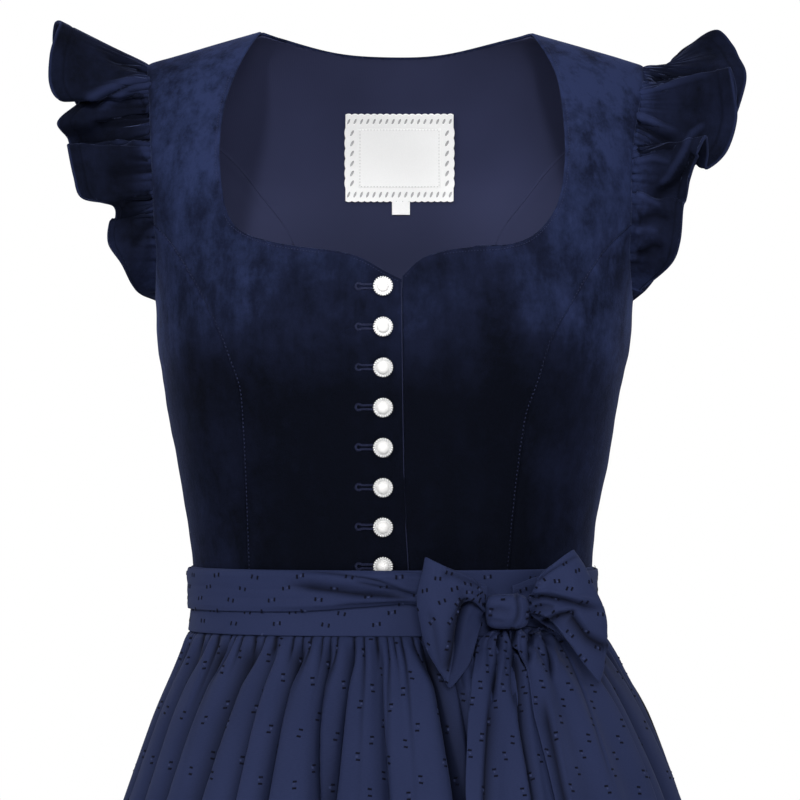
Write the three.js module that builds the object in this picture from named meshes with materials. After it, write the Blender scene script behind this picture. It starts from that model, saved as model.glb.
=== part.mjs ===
// A dirndl in the form it has when worn: a velvet bodice with armhole ruffles and a buttoned front,
// a gathered skirt, and an apron whose ties are bound in a bow.
// Millimetres, +Z up, +X towards the wearer's left, -Y towards the front.
// The origin is midway between the shoulders, at the height of the shoulder line.
import * as THREE from 'three';

// ---------- driving dimensions ----------
const VELVET = 1.5; // wall of a velvet panel
const LINING = 1.0; // wall of the lining, the label and the size tab
const APRON_CLOTH = 1.2; // wall of the apron, its band and its ties
const SKIRT_CLOTH = 1.4;
const SEAM_GAP = 0.3;
const RUFFLE_CLOTH = 2.0; // two layers of velvet
const SHOULDER_Y = 8; // the shoulder seam, behind the origin
const SHOULDER_ROUND = 110; // height over which the chest rounds into the shoulder
const SHOULDER_SEAM_WAY = 0.45; // from the shoulder line down to each panel's edge at the shoulder seam
const RING_POWER = 2.3; // squareness of every ring round the body
const WAIST_Z = -352; // bodice and skirt meet here, under the ties
const BAND_BOTTOM_Z = -372;
const SKIRT_HEM_Z = -1010;
const APRON_HEM_Z = -980;

const velvetMaterial = new THREE.MeshStandardMaterial({ color: 0x1a1e34, roughness: 0.9, metalness: 0 });
const liningMaterial = new THREE.MeshStandardMaterial({ color: 0x2b2f49, roughness: 0.6, metalness: 0 });
const skirtMaterial = new THREE.MeshStandardMaterial({ color: 0x0d1120, roughness: 0.8, metalness: 0 });
const apronMaterial = new THREE.MeshStandardMaterial({ color: 0x28304f, roughness: 0.65, metalness: 0 });
const pearlMaterial = new THREE.MeshStandardMaterial({ color: 0xf1f0f0, roughness: 0.25, metalness: 0.1 });
const labelMaterial = new THREE.MeshStandardMaterial({ color: 0xf4f4f4, roughness: 0.9, metalness: 0 });

const dress = new THREE.Group();

function add(name, geometry, material) {
  const mesh = new THREE.Mesh(geometry, material);
  mesh.name = name;
  dress.add(mesh);
}

// ---------- tables and grids ----------

// Reads a table of rows by its key column, smoothly and without overshoot between the rows.
function reader(rows, key) {
  const table = [...rows].sort((p, q) => p[key] - q[key]);
  const columns = Object.keys(table[0]).filter((name) => name !== key);
  const slopes = columns.map((name) => {
    const rise = table.slice(1).map((row, i) => (row[name] - table[i][name]) / (row[key] - table[i][key]));
    return table.map((_, i) => {
      if (i === 0) return rise[0];
      if (i === rise.length) return rise[i - 1];
      return rise[i - 1] * rise[i] <= 0 ? 0 : (2 * rise[i - 1] * rise[i]) / (rise[i - 1] + rise[i]);
    });
  });
  return (value) => {
    const k = THREE.MathUtils.clamp(value, table[0][key], table[table.length - 1][key]);
    let i = 0;
    while (i < table.length - 2 && table[i + 1][key] < k) i += 1;
    const span = table[i + 1][key] - table[i][key];
    const t = (k - table[i][key]) / span;
    const row = {};
    columns.forEach((name, c) => {
      const [p, q] = [table[i][name], table[i + 1][name]];
      const [m, n] = [slopes[c][i] * span, slopes[c][i + 1] * span];
      row[name] = p + t * (m + t * (3 * (q - p) - 2 * m - n + t * (m + n - 2 * (q - p))));
    });
    return row;
  };
}

function smooth(low, high, value) {
  return THREE.MathUtils.smoothstep(value, low, high);
}

// Points in a grid, rows by columns, become a closed wall: outer face, inner face and the rim round them.
// Each square is split along its shorter diagonal.
function wallGeometry(points, normals, thickness) {
  const rows = points.length;
  const columns = points[0].length;
  const positions = [];
  for (const half of [thickness / 2, -thickness / 2]) {
    for (let j = 0; j < rows; j += 1) {
      for (let i = 0; i < columns; i += 1) {
        positions.push(...points[j][i].clone().addScaledVector(normals[j][i], half).toArray());
      }
    }
  }
  const outer = (j, i) => j * columns + i;
  const inner = (j, i) => rows * columns + j * columns + i;
  const faces = [];
  const quad = (a, b, c, d) => faces.push(a, b, c, a, c, d);
  for (let j = 0; j < rows - 1; j += 1) {
    for (let i = 0; i < columns - 1; i += 1) {
      const rising = points[j][i].distanceTo(points[j + 1][i + 1]);
      if (rising <= points[j][i + 1].distanceTo(points[j + 1][i])) {
        quad(outer(j, i), outer(j, i + 1), outer(j + 1, i + 1), outer(j + 1, i));
        quad(inner(j, i), inner(j + 1, i), inner(j + 1, i + 1), inner(j, i + 1));
      } else {
        quad(outer(j, i + 1), outer(j + 1, i + 1), outer(j + 1, i), outer(j, i));
        quad(inner(j, i + 1), inner(j, i), inner(j + 1, i), inner(j + 1, i + 1));
      }
    }
  }
  for (let i = 0; i < columns - 1; i += 1) {
    quad(outer(0, i + 1), outer(0, i), inner(0, i), inner(0, i + 1));
    quad(outer(rows - 1, i), outer(rows - 1, i + 1), inner(rows - 1, i + 1), inner(rows - 1, i));
  }
  for (let j = 0; j < rows - 1; j += 1) {
    quad(outer(j, 0), outer(j + 1, 0), inner(j + 1, 0), inner(j, 0));
    quad(outer(j + 1, columns - 1), outer(j, columns - 1), inner(j, columns - 1), inner(j + 1, columns - 1));
  }
  return facingOut(positions, faces);
}

// A geometry whose faces are turned, where needed, so that they point out of its volume.
function facingOut(positions, faces) {
  const corner = (k) => new THREE.Vector3().fromArray(positions, 3 * k);
  let volume = 0;
  for (let f = 0; f < faces.length; f += 3) {
    const [a, b, c] = [corner(faces[f]), corner(faces[f + 1]), corner(faces[f + 2])];
    volume += a.dot(b.cross(c));
  }
  if (volume < 0) faces.reverse();
  const geometry = new THREE.BufferGeometry();
  geometry.setAttribute('position', new THREE.Float32BufferAttribute(positions, 3));
  geometry.setIndex(faces);
  geometry.computeVertexNormals();
  return geometry;
}

// Unit normals of a grid of points, from its neighbours.
function gridNormals(points) {
  const rows = points.length;
  const columns = points[0].length;
  return points.map((row, j) => row.map((_, i) => {
    const along = points[j][Math.min(i + 1, columns - 1)].clone().sub(points[j][Math.max(i - 1, 0)]);
    const up = points[Math.min(j + 1, rows - 1)][i].clone().sub(points[Math.max(j - 1, 0)][i]);
    return along.cross(up).normalize();
  }));
}

// ---------- the body that the bodice fits ----------
// A ring for each height: half width, depth in front and behind, and how far its centre is to one side.
const bodyRing = reader([
  { z: -352, half: 125.0, front: 90, back: 78, centre: -1.0 },
  { z: -328, half: 126.9, front: 92, back: 79, centre: -1.0 },
  { z: -302, half: 130.1, front: 96, back: 82, centre: -1.3 },
  { z: -264, half: 137.1, front: 104, back: 88, centre: -1.3 },
  { z: -212, half: 146.4, front: 113, back: 95, centre: -1.0 },
  { z: -187, half: 150.6, front: 116, back: 98, centre: -0.6 },
  { z: -162, half: 152.0, front: 116, back: 100, centre: 0 },
  { z: -130, half: 158.5, front: 109, back: 101.5, centre: 0 },
  { z: -100, half: 167.0, front: 100, back: 101, centre: 0 },
  { z: -50, half: 170.0, front: 88, back: 93, centre: 0 },
  { z: 40, half: 170.0, front: 74, back: 68, centre: 0 },
], 'z');
const BUST = { x: 72, z: -196, wide: 46, tall: 44, out: 6 };

function shoulderHeight(x) {
  return 38.6 - 0.307 * Math.hypot(x, 30);
}

// A ring's point at an angle measured from the centre front towards +X, moved out from the ring.
function ringPoint(theta, ring, out = 0) {
  const angle = THREE.MathUtils.degToRad(theta);
  const [s, c] = [Math.sin(angle), Math.cos(angle)];
  const depth = c >= 0 ? ring.front : ring.back;
  const power = (v) => Math.abs(v) ** RING_POWER;
  const radius = (power(s / ring.half) + power(c / depth)) ** (-1 / RING_POWER) + out;
  return { x: ring.centre + radius * s, y: -radius * c, radius };
}

// The angle of a point of a ring whose x is known, on the front or the back of the body.
function angleAtX(x, ring, face) {
  const share = Math.min(Math.abs(x - ring.centre) / ring.half, 1);
  const depth = (1 - share ** RING_POWER) ** (1 / RING_POWER) * (face === 'front' ? ring.front : -ring.back);
  const angle = THREE.MathUtils.radToDeg(Math.atan2(x - ring.centre, depth));
  return face === 'back' && angle < 0 ? angle + 360 : angle;
}

// A way down the body: how far a point is from the shoulder line along the rounded shoulder.
function wayDown(x, z) {
  const drop = Math.max(shoulderHeight(x) - z, 0);
  if (drop >= SHOULDER_ROUND) return (SHOULDER_ROUND * Math.PI) / 2 + drop - SHOULDER_ROUND;
  return SHOULDER_ROUND * Math.acos(1 - drop / SHOULDER_ROUND);
}

function dropOf(way) {
  const quarter = (SHOULDER_ROUND * Math.PI) / 2;
  if (way >= quarter) return SHOULDER_ROUND + way - quarter;
  return SHOULDER_ROUND * (1 - Math.cos(Math.max(way, 0) / SHOULDER_ROUND));
}

// A point of the body at an angle and a way down from the shoulder line.
function bodyPoint({ theta, way }) {
  const drop = dropOf(way);
  let z = -drop;
  let ring = bodyRing(z);
  for (let pass = 0; pass < 8; pass += 1) {
    z = shoulderHeight(ringPoint(theta, ring).x) - drop;
    ring = bodyRing(z);
  }
  const { x, y } = ringPoint(theta, ring);
  const bust = y < 0
    ? BUST.out * Math.exp(-(((Math.abs(x) - BUST.x) / BUST.wide) ** 2) - ((z - BUST.z) / BUST.tall) ** 2)
    : 0;
  const share = Math.min(drop / SHOULDER_ROUND, 1);
  const reach = Math.sqrt(1 - (1 - share) ** 2);
  return new THREE.Vector3(x, SHOULDER_Y + (y - bust - SHOULDER_Y) * reach, z);
}

function bodyNormal({ theta, way }) {
  const step = 0.4;
  const left = bodyPoint({ theta: theta - step, way });
  const right = bodyPoint({ theta: theta + step, way });
  const low = bodyPoint({ theta, way: way + step });
  const high = bodyPoint({ theta, way: Math.max(way - step, 0) });
  return right.sub(left).cross(high.sub(low)).normalize();
}

// A spot of the body: its angle and way, from its place in the front or back view.
function spot(x, z, face) {
  return { theta: angleAtX(x, bodyRing(z), face), way: wayDown(x, z) };
}

// Spots shared out evenly by their real distance, a list of count + 1.
function spread(spots, count) {
  const places = spots.map(bodyPoint);
  const far = [0];
  for (let i = 1; i < spots.length; i += 1) far.push(far[i - 1] + places[i].distanceTo(places[i - 1]));
  const total = far[far.length - 1];
  let i = 0;
  return Array.from({ length: count + 1 }, (_, k) => {
    const want = (total * k) / count;
    while (i < spots.length - 2 && far[i + 1] < want) i += 1;
    const t = THREE.MathUtils.clamp((want - far[i]) / (far[i + 1] - far[i] || 1), 0, 1);
    return {
      theta: THREE.MathUtils.lerp(spots[i].theta, spots[i + 1].theta, t),
      way: THREE.MathUtils.lerp(spots[i].way, spots[i + 1].way, t),
    };
  });
}

// Spots along a seam whose x is read from a table by its height.
function seamSpots(xAt, fromZ, toZ, face, steps = 60) {
  return Array.from({ length: steps + 1 }, (_, k) => {
    const z = THREE.MathUtils.lerp(fromZ, toZ, k / steps);
    return spot(xAt(z).x, z, face);
  });
}

// Spots along a smooth line through a few points of the front or back view.
function lineSpots(rows, face, steps = 60) {
  const curve = new THREE.CatmullRomCurve3(rows.map(({ x, z }) => new THREE.Vector3(x, 0, z)));
  return curve.getPoints(steps).map((p) => spot(p.x, p.z, face));
}

function joined(...runs) {
  return runs.flatMap((run, k) => (k === 0 ? run : run.slice(1)));
}

// Moves each spot of an edge round the body, to leave half of a seam's gap.
function shifted(spots, distance) {
  return spots.map(({ theta, way }) => {
    const { radius } = ringPoint(theta, bodyRing(-dropOf(way)));
    return { theta: theta + THREE.MathUtils.radToDeg(distance / radius), way };
  });
}

// The net of spots between four edges that share their corners.
function net({ bottom, top, left, right }) {
  const [columns, rows] = [bottom.length - 1, left.length - 1];
  const blend = (key, i, j) => {
    const [s, t] = [i / columns, j / rows];
    const sides = (1 - s) * left[j][key] + s * right[j][key];
    const ends = (1 - t) * bottom[i][key] + t * top[i][key];
    const corners = (1 - t) * ((1 - s) * left[0][key] + s * right[0][key])
      + t * ((1 - s) * left[rows][key] + s * right[rows][key]);
    return sides + ends - corners;
  };
  return left.map((_, j) => bottom.map((__, i) => (
    { theta: blend('theta', i, j), way: blend('way', i, j) }
  )));
}

// Lays a cloth on the body through a net of spots, raised by a distance or by a function of the place.
function bodyCloth(spots, thickness, lift = 0) {
  const normals = spots.map((row) => row.map(bodyNormal));
  const points = spots.map((row, j) => row.map((place, i) => {
    const point = bodyPoint(place);
    return point.addScaledVector(normals[j][i], typeof lift === 'function' ? lift(point) : lift);
  }));
  return wallGeometry(points, normals, thickness);
}

// ---------- seams of the bodice, each side as it is seen from the front ----------
// right and left are the wearer's: right has negative x.
const neckline = {
  right: [
    { x: 4.7, z: -150.5 }, { x: -6.4, z: -144.9 }, { x: -19.4, z: -137.5 }, { x: -33.6, z: -133.2 },
    { x: -57.2, z: -130 }, { x: -80.9, z: -125.4 }, { x: -97.3, z: -118.4 }, { x: -104.6, z: -106.2 },
    { x: -108.2, z: -86.6 }, { x: -109.3, z: -67.4 }, { x: -108.4, z: -50.6 }, { x: -105, z: -32.2 },
    { x: -97.6, z: -12.8 }, { x: -85.4, z: shoulderHeight(85.4) },
  ],
  left: [
    { x: 5.1, z: -148.5 }, { x: 15.2, z: -138.7 }, { x: 28.2, z: -133.2 },
    { x: 45.5, z: -130.7 }, { x: 69.2, z: -128.7 }, { x: 86.8, z: -122.1 }, { x: 99.3, z: -107.5 },
    { x: 104.8, z: -89.8 }, { x: 106.9, z: -67.4 }, { x: 105.5, z: -42 }, { x: 100.9, z: -16 },
    { x: 87.4, z: shoulderHeight(87.4) },
  ],
};
const placketX = reader([
  { z: -352, x: 10 }, { z: -330, x: 9.1 }, { z: -285, x: 6.6 }, { z: -204, x: 5.4 }, { z: -150, x: 4.7 },
], 'z');
const ARMHOLE_JOIN_Z = -114; // where the front princess seam runs into the armhole
const frontPrincess = {
  right: reader([
    { z: -352, x: -91 }, { z: -322, x: -92.1 }, { z: -222, x: -96.2 }, { z: -199, x: -103.2 },
    { z: -181, x: -110.1 }, { z: -166, x: -117.2 }, { z: -152, x: -124.9 }, { z: -139, x: -132.7 },
    { z: -125, x: -142.4 }, { z: ARMHOLE_JOIN_Z, x: -152.2 },
  ], 'z'),
  left: reader([
    { z: -352, x: 70 }, { z: -333, x: 71.5 }, { z: -237, x: 82.2 }, { z: -213, x: 90.2 },
    { z: -191, x: 96.5 }, { z: -179, x: 102.2 }, { z: -159, x: 114.3 }, { z: -145, x: 122.7 },
    { z: -131, x: 132.6 }, { z: ARMHOLE_JOIN_Z, x: 149.4 },
  ], 'z'),
};
const armholeFront = {
  right: reader([
    { z: ARMHOLE_JOIN_Z, x: -152.2 }, { z: -75, x: -153.9 }, { z: -44, x: -155.9 },
    { z: shoulderHeight(158.4), x: -158.4 },
  ], 'z'),
  left: reader([
    { z: ARMHOLE_JOIN_Z, x: 149.4 }, { z: -75, x: 150.8 }, { z: -56, x: 152.4 }, { z: -29, x: 157.8 },
    { z: shoulderHeight(160.4), x: 160.4 },
  ], 'z'),
};
const BACK_JOIN_Z = -42; // where the back princess seam runs into the armhole
const BACK_JOIN_X = 152;
const backPrincess = reader([
  { z: WAIST_Z, x: 47 }, { z: -200, x: 55 }, { z: -123, x: 67 }, { z: -92, x: 88 }, { z: -64, x: 112 },
  { z: BACK_JOIN_Z, x: BACK_JOIN_X },
], 'z');
const backPrincessOf = {
  left: backPrincess,
  right: (z) => ({ x: -backPrincess(z).x }),
};
const UNDERARM_Z = -162;
const UNDERARM_X = 152;
const sides = {
  right: { sign: -1, sideSeam: -90, shoulderOut: -158.4, neckOut: -85.4 },
  left: { sign: 1, sideSeam: 90, shoulderOut: 160.4, neckOut: 87.4 },
};
const BACK_NECK_Z = -3.8;

// The armhole below a princess seam: a quarter turn from the seam's end down to the underarm.
function underarmSpots(side, joinX, joinZ, face, steps = 40) {
  const { sign, sideSeam } = sides[side];
  const start = spot(joinX, joinZ, face);
  const full = start.theta > 180 && sign < 0 ? sideSeam + 360 : sideSeam;
  const end = { theta: full, way: wayDown(sign * UNDERARM_X, UNDERARM_Z) };
  return Array.from({ length: steps + 1 }, (_, k) => {
    const turn = (k / steps) * (Math.PI / 2);
    return {
      theta: THREE.MathUtils.lerp(end.theta, start.theta, Math.cos(turn)),
      way: THREE.MathUtils.lerp(start.way, end.way, Math.sin(turn)),
    };
  });
}

// A level edge round the body between two angles.
function levelSpots(fromTheta, toTheta, z, steps = 40) {
  return Array.from({ length: steps + 1 }, (_, k) => {
    const theta = THREE.MathUtils.lerp(fromTheta, toTheta, k / steps);
    return { theta, way: wayDown(ringPoint(theta, bodyRing(z)).x, z) };
  });
}

function sideSeamSpots(theta, steps = 20) {
  return Array.from({ length: steps + 1 }, (_, k) => {
    const z = THREE.MathUtils.lerp(WAIST_Z, UNDERARM_Z, k / steps);
    return { theta, way: wayDown(ringPoint(theta, bodyRing(z)).x, z) };
  });
}

// A shoulder edge, just in front of or behind the seam on top of the shoulder.
function shoulderSpots(fromX, toX, face, steps = 12) {
  return Array.from({ length: steps + 1 }, (_, k) => {
    const x = THREE.MathUtils.lerp(fromX, toX, k / steps);
    return { ...spot(x, shoulderHeight(x), face), way: SHOULDER_SEAM_WAY };
  });
}

// ---------- front panels ----------
const GRID = { frontColumns: 7, neckRows: [10, 10], princessRows: [12, 8], sideColumns: 5, sideRows: 12 };

for (const side of ['right', 'left']) {
  const { shoulderOut, neckOut, sign } = sides[side];
  const innerX = side === 'right' ? placketX : (z) => ({ x: placketX(z).x + SEAM_GAP });
  const neckStart = neckline[side][0].z;
  const inner = joined(
    spread(seamSpots(innerX, WAIST_Z, neckStart, 'front'), GRID.neckRows[0]),
    spread(lineSpots(neckline[side], 'front', 90), GRID.neckRows[1]),
  );
  const outer = shifted(joined(
    spread(seamSpots(frontPrincess[side], WAIST_Z, ARMHOLE_JOIN_Z, 'front'), GRID.princessRows[0]),
    spread(seamSpots(armholeFront[side], ARMHOLE_JOIN_Z, shoulderHeight(shoulderOut), 'front'),
      GRID.princessRows[1]),
  ), (-sign * SEAM_GAP) / 2);
  inner[inner.length - 1].way = SHOULDER_SEAM_WAY;
  outer[outer.length - 1].way = SHOULDER_SEAM_WAY;
  const bottomEdge = levelSpots(inner[0].theta, outer[0].theta, WAIST_Z);
  const topEdge = spread(shoulderSpots(neckOut, shoulderOut, 'front'), GRID.frontColumns);
  topEdge[0] = inner[inner.length - 1];
  topEdge[GRID.frontColumns] = outer[outer.length - 1];
  const bottom = spread(bottomEdge, GRID.frontColumns);
  const panel = net({ bottom, top: topEdge, left: inner, right: outer });
  add(`front_centre_${side}`, bodyCloth(panel, VELVET), velvetMaterial);
}

// The strip that carries the buttons, sewn under the opening.
{
  const STAND = { past: 12, under: 16, topZ: -156, rows: 12, below: 2.8 };
  const edgeAt = (offset) => spread(
    seamSpots((z) => ({ x: placketX(z).x + offset }), WAIST_Z, STAND.topZ, 'front'), STAND.rows);
  const left = edgeAt(-STAND.under);
  const right = edgeAt(STAND.past);
  const panel = left.map((_, j) => [0, 0.33, 0.66, 1].map((t) => ({
    theta: THREE.MathUtils.lerp(left[j].theta, right[j].theta, t),
    way: THREE.MathUtils.lerp(left[j].way, right[j].way, t),
  })));
  add('button_stand', bodyCloth(panel, VELVET, -STAND.below), velvetMaterial);
}

for (const side of ['right', 'left']) {
  const { sign, sideSeam } = sides[side];
  const princess = shifted(
    spread(seamSpots(frontPrincess[side], WAIST_Z, ARMHOLE_JOIN_Z, 'front'), GRID.sideRows),
    (sign * SEAM_GAP) / 2,
  );
  const seam = shifted(spread(sideSeamSpots(sideSeam), GRID.sideRows), (-sign * SEAM_GAP) / 2);
  const top = spread(underarmSpots(side, frontPrincess[side](ARMHOLE_JOIN_Z).x, ARMHOLE_JOIN_Z, 'front'),
    GRID.sideColumns);
  top[0] = princess[GRID.sideRows];
  top[GRID.sideColumns] = seam[GRID.sideRows];
  const bottom = spread(levelSpots(princess[0].theta, seam[0].theta, WAIST_Z), GRID.sideColumns);
  const panel = net({ bottom, top, left: princess, right: seam });
  add(`front_side_${side}`, bodyCloth(panel, VELVET), velvetMaterial);
}

// ---------- back panels and the lining that follows them inside ----------
const BACK_GRID = { neckColumns: 6, strapColumns: 3, rows: [12, 4], sideColumns: 6, sideRows: 12 };
const LINING_CLEAR = 0.9; // the lining hangs a little clear of the velvet
const LINING_LIFT = -(VELVET / 2 + LINING_CLEAR + LINING / 2);
{
  const edgeOf = (side) => {
    const { sign, shoulderOut } = sides[side];
    const armhole = reader([
      { z: BACK_JOIN_Z, x: sign * BACK_JOIN_X }, { z: shoulderHeight(shoulderOut), x: shoulderOut },
    ], 'z');
    const edge = joined(
      spread(seamSpots(backPrincessOf[side], WAIST_Z, BACK_JOIN_Z, 'back'), BACK_GRID.rows[0]),
      spread(seamSpots(armhole, BACK_JOIN_Z, shoulderHeight(shoulderOut), 'back'), BACK_GRID.rows[1]),
    );
    edge[edge.length - 1].way = SHOULDER_SEAM_WAY;
    return shifted(edge, (sign * SEAM_GAP) / 2);
  };
  const leftEdge = edgeOf('left');
  const rightEdge = edgeOf('right');
  const neck = lineSpots([
    { x: sides.left.neckOut, z: shoulderHeight(sides.left.neckOut) - 0.1 }, { x: 58, z: 2.8 },
    { x: 30, z: -2.4 }, { x: 1.5, z: BACK_NECK_Z }, { x: -28, z: -2.4 }, { x: -56, z: 2.8 },
    { x: sides.right.neckOut, z: shoulderHeight(sides.right.neckOut) - 0.1 },
  ], 'back');
  const top = joined(
    spread(shoulderSpots(sides.left.shoulderOut, sides.left.neckOut, 'back'), BACK_GRID.strapColumns),
    spread(neck, BACK_GRID.neckColumns),
    spread(shoulderSpots(sides.right.neckOut, sides.right.shoulderOut, 'back'), BACK_GRID.strapColumns),
  );
  const last = top.length - 1;
  top[0] = leftEdge[leftEdge.length - 1];
  top[last] = rightEdge[rightEdge.length - 1];
  const bottom = spread(levelSpots(leftEdge[0].theta, rightEdge[0].theta, WAIST_Z), last);
  const panel = net({ bottom, top, left: leftEdge, right: rightEdge });
  add('back_centre', bodyCloth(panel, VELVET), velvetMaterial);
  add('lining_back_centre', bodyCloth(panel, LINING, LINING_LIFT), liningMaterial);
}

for (const side of ['right', 'left']) {
  const { sign, sideSeam } = sides[side];
  const joinX = sign * BACK_JOIN_X;
  const full = sign < 0 ? sideSeam + 360 : sideSeam;
  const princess = shifted(
    spread(seamSpots(backPrincessOf[side], WAIST_Z, BACK_JOIN_Z, 'back'), BACK_GRID.sideRows),
    (-sign * SEAM_GAP) / 2,
  );
  const seam = shifted(spread(sideSeamSpots(full), BACK_GRID.sideRows), (sign * SEAM_GAP) / 2);
  const top = spread(underarmSpots(side, joinX, BACK_JOIN_Z, 'back'), BACK_GRID.sideColumns);
  top[0] = princess[BACK_GRID.sideRows];
  top[BACK_GRID.sideColumns] = seam[BACK_GRID.sideRows];
  const bottom = spread(levelSpots(princess[0].theta, seam[0].theta, WAIST_Z), BACK_GRID.sideColumns);
  const panel = net({ bottom, top, left: princess, right: seam });
  add(`back_side_${side}`, bodyCloth(panel, VELVET), velvetMaterial);
  add(`lining_back_side_${side}`, bodyCloth(panel, LINING, LINING_LIFT), liningMaterial);
}

// ---------- label and size tab, sewn to the lining below the back neck ----------
{
  const LABEL = { left: -32.7, right: 39.1, top: -36.3, bottom: -93.6, columns: 8, rows: 6 };
  const TAB = { left: -1.8, right: 10.1, top: LABEL.bottom - SEAM_GAP, bottom: -103, columns: 2, rows: 1 };
  const LABEL_CLEAR = 1.0;
  const LABEL_LIFT = LINING_LIFT - LINING - LABEL_CLEAR;
  for (const [name, box] of [['label', LABEL], ['size_tab', TAB]]) {
    const rowAt = (z) => Array.from({ length: box.columns + 1 }, (_, i) => (
      spot(THREE.MathUtils.lerp(box.right, box.left, i / box.columns), z, 'back')
    ));
    const spots = Array.from({ length: box.rows + 1 }, (_, j) => (
      rowAt(THREE.MathUtils.lerp(box.bottom, box.top, j / box.rows))
    ));
    add(name, bodyCloth(spots, LINING, LABEL_LIFT), labelMaterial);
  }
}

// ---------- buttons ----------
const BUTTON = { count: 8, firstZ: -154.9, pitch: 24.8, x: -7, rim: 6.2, dome: 3.6, height: 4.6, sides: 10 };
{
  const profile = [
    [0, 0], [BUTTON.rim - 0.8, 0], [BUTTON.rim, 0.8], [BUTTON.rim - 0.6, 1.9], [BUTTON.dome + 0.3, 1.7],
    [BUTTON.dome - 0.6, 3.6], [0, BUTTON.height],
  ].map(([r, h]) => new THREE.Vector2(r, h));
  const OUTWARDS = new THREE.Vector3(0, 1, 0);
  for (let k = 0; k < BUTTON.count; k += 1) {
    const place = spot(BUTTON.x, BUTTON.firstZ - k * BUTTON.pitch, 'front');
    const normal = bodyNormal(place);
    const mesh = new THREE.Mesh(new THREE.LatheGeometry(profile, BUTTON.sides), pearlMaterial);
    mesh.name = `button_${k + 1}`;
    mesh.position.copy(bodyPoint(place)).addScaledVector(normal, VELVET / 2 + SEAM_GAP);
    mesh.quaternion.setFromUnitVectors(OUTWARDS, normal);
    dress.add(mesh);
  }
}

// ---------- skirt ----------
const skirtRing = reader([
  { z: WAIST_Z, half: 125, front: 90, back: 78, centre: -1.0 },
  { z: -364, half: 126.6, front: 92, back: 80.5, centre: -0.5 },
  { z: -375, half: 129, front: 95, back: 84, centre: 1.5 },
  { z: -390, half: 134.5, front: 100, back: 91, centre: 4 },
  { z: -417, half: 144, front: 108, back: 103, centre: 6 },
  { z: -481, half: 163, front: 124, back: 128, centre: 9 },
  { z: -600, half: 196, front: 150, back: 163, centre: 9 },
  { z: -800, half: 246, front: 190, back: 206, centre: 7 },
  { z: SKIRT_HEM_Z, half: 294, front: 226, back: 243, centre: 5 },
], 'z');
const skirtRise = reader([
  { z: WAIST_Z, rise: 0.5 }, { z: -375, rise: 1.4 }, { z: -420, rise: 5 }, { z: -481, rise: 8 },
  { z: -700, rise: 16 }, { z: SKIRT_HEM_Z, rise: 24 },
], 'z');
const APRON = { from: -100, to: 82 };
// Folds of the skirt: how many degrees apart, how high under the apron, and how unevenly they are spaced.
const SKIRT_FOLD = { pitch: 15, underApron: 0.25, edge: 10, uneven: 0.9, unevenTurns: 3, unevenFrom: 40 };

// How far a skirt fold stands out: full folds at the sides and back, small ones under the apron.
function skirtFold(theta, z) {
  const turn = theta > 180 ? theta - 360 : theta;
  const open = smooth(APRON.to, APRON.to + SKIRT_FOLD.edge, turn)
    + smooth(-APRON.from, -APRON.from + SKIRT_FOLD.edge, -turn);
  const share = SKIRT_FOLD.underApron + (1 - SKIRT_FOLD.underApron) * open;
  const uneven = THREE.MathUtils.degToRad(SKIRT_FOLD.unevenTurns * theta + SKIRT_FOLD.unevenFrom);
  const phase = (2 * Math.PI * theta) / SKIRT_FOLD.pitch + SKIRT_FOLD.uneven * Math.sin(uneven);
  return skirtRise(z).rise * share * (0.5 - 0.5 * Math.cos(phase));
}

function skirtPoint(theta, z, out = 0) {
  const { x, y } = ringPoint(theta, skirtRing(z), out);
  return new THREE.Vector3(x, y, z);
}

// Cloth over a grid of angles and heights, from a function that gives each point.
function drapedCloth(pointAt, thetas, heights, thickness) {
  const points = heights.map((z, j) => thetas.map((theta) => pointAt(
    Array.isArray(theta) ? theta[j] : theta, z)));
  return wallGeometry(points, gridNormals(points), thickness);
}

function steps(from, to, count) {
  return Array.from({ length: count + 1 }, (_, k) => THREE.MathUtils.lerp(from, to, k / count));
}

const SEAM_ANGLE = 0.08; // half of a side seam's gap, in degrees
const skirtHeights = [SKIRT_HEM_Z, -800, -620, -481, -430, -400, -383, -372.3, -362, WAIST_Z - SEAM_GAP];
const hangingSkirt = (theta, z) => skirtPoint(theta, z, skirtFold(theta, z));
for (const [name, from, to, columns] of [['skirt_front', -90, 90, 36], ['skirt_back', 90, 270, 44]]) {
  const thetas = steps(from + SEAM_ANGLE, to - SEAM_ANGLE, columns);
  add(name, drapedCloth(hangingSkirt, thetas, skirtHeights, SKIRT_CLOTH), skirtMaterial);
}

// ---------- apron ----------
// Each crease between two folds: its angle under the band, how far it sways, its half width and depth.
const apronCreases = [
  { at: -93, sway: -3, wide: 2.6, deep: 0.7 }, { at: -85, sway: -3, wide: 2.4, deep: 0.8 },
  { at: -76, sway: -2, wide: 2.4, deep: 0.75 }, { at: -67, sway: -1, wide: 2.2, deep: 0.8 },
  { at: -57, sway: -3, wide: 2.4, deep: 0.9 }, { at: -46.5, sway: -3, wide: 2.6, deep: 0.9 },
  { at: -40, sway: 0, wide: 1.8, deep: 0.5 }, { at: -31.5, sway: 0, wide: 2.2, deep: 0.9 },
  { at: -22.5, sway: 4, wide: 1.9, deep: 0.7 }, { at: -15, sway: -2, wide: 1.8, deep: 0.6 },
  { at: -6, sway: 3, wide: 2.2, deep: 0.35 }, { at: 8, sway: 2, wide: 2.8, deep: 1 },
  { at: 15.5, sway: -1, wide: 1.8, deep: 0.6 }, { at: 25, sway: 0, wide: 2.4, deep: 0.8 },
  { at: 35, sway: 0, wide: 2.4, deep: 0.8 }, { at: 45, sway: 0, wide: 2.4, deep: 0.8 },
  { at: 54, sway: 0, wide: 2.4, deep: 0.8 }, { at: 63, sway: 1, wide: 2.2, deep: 0.8 },
  { at: 71, sway: 2, wide: 2.2, deep: 0.8 },
];
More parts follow.
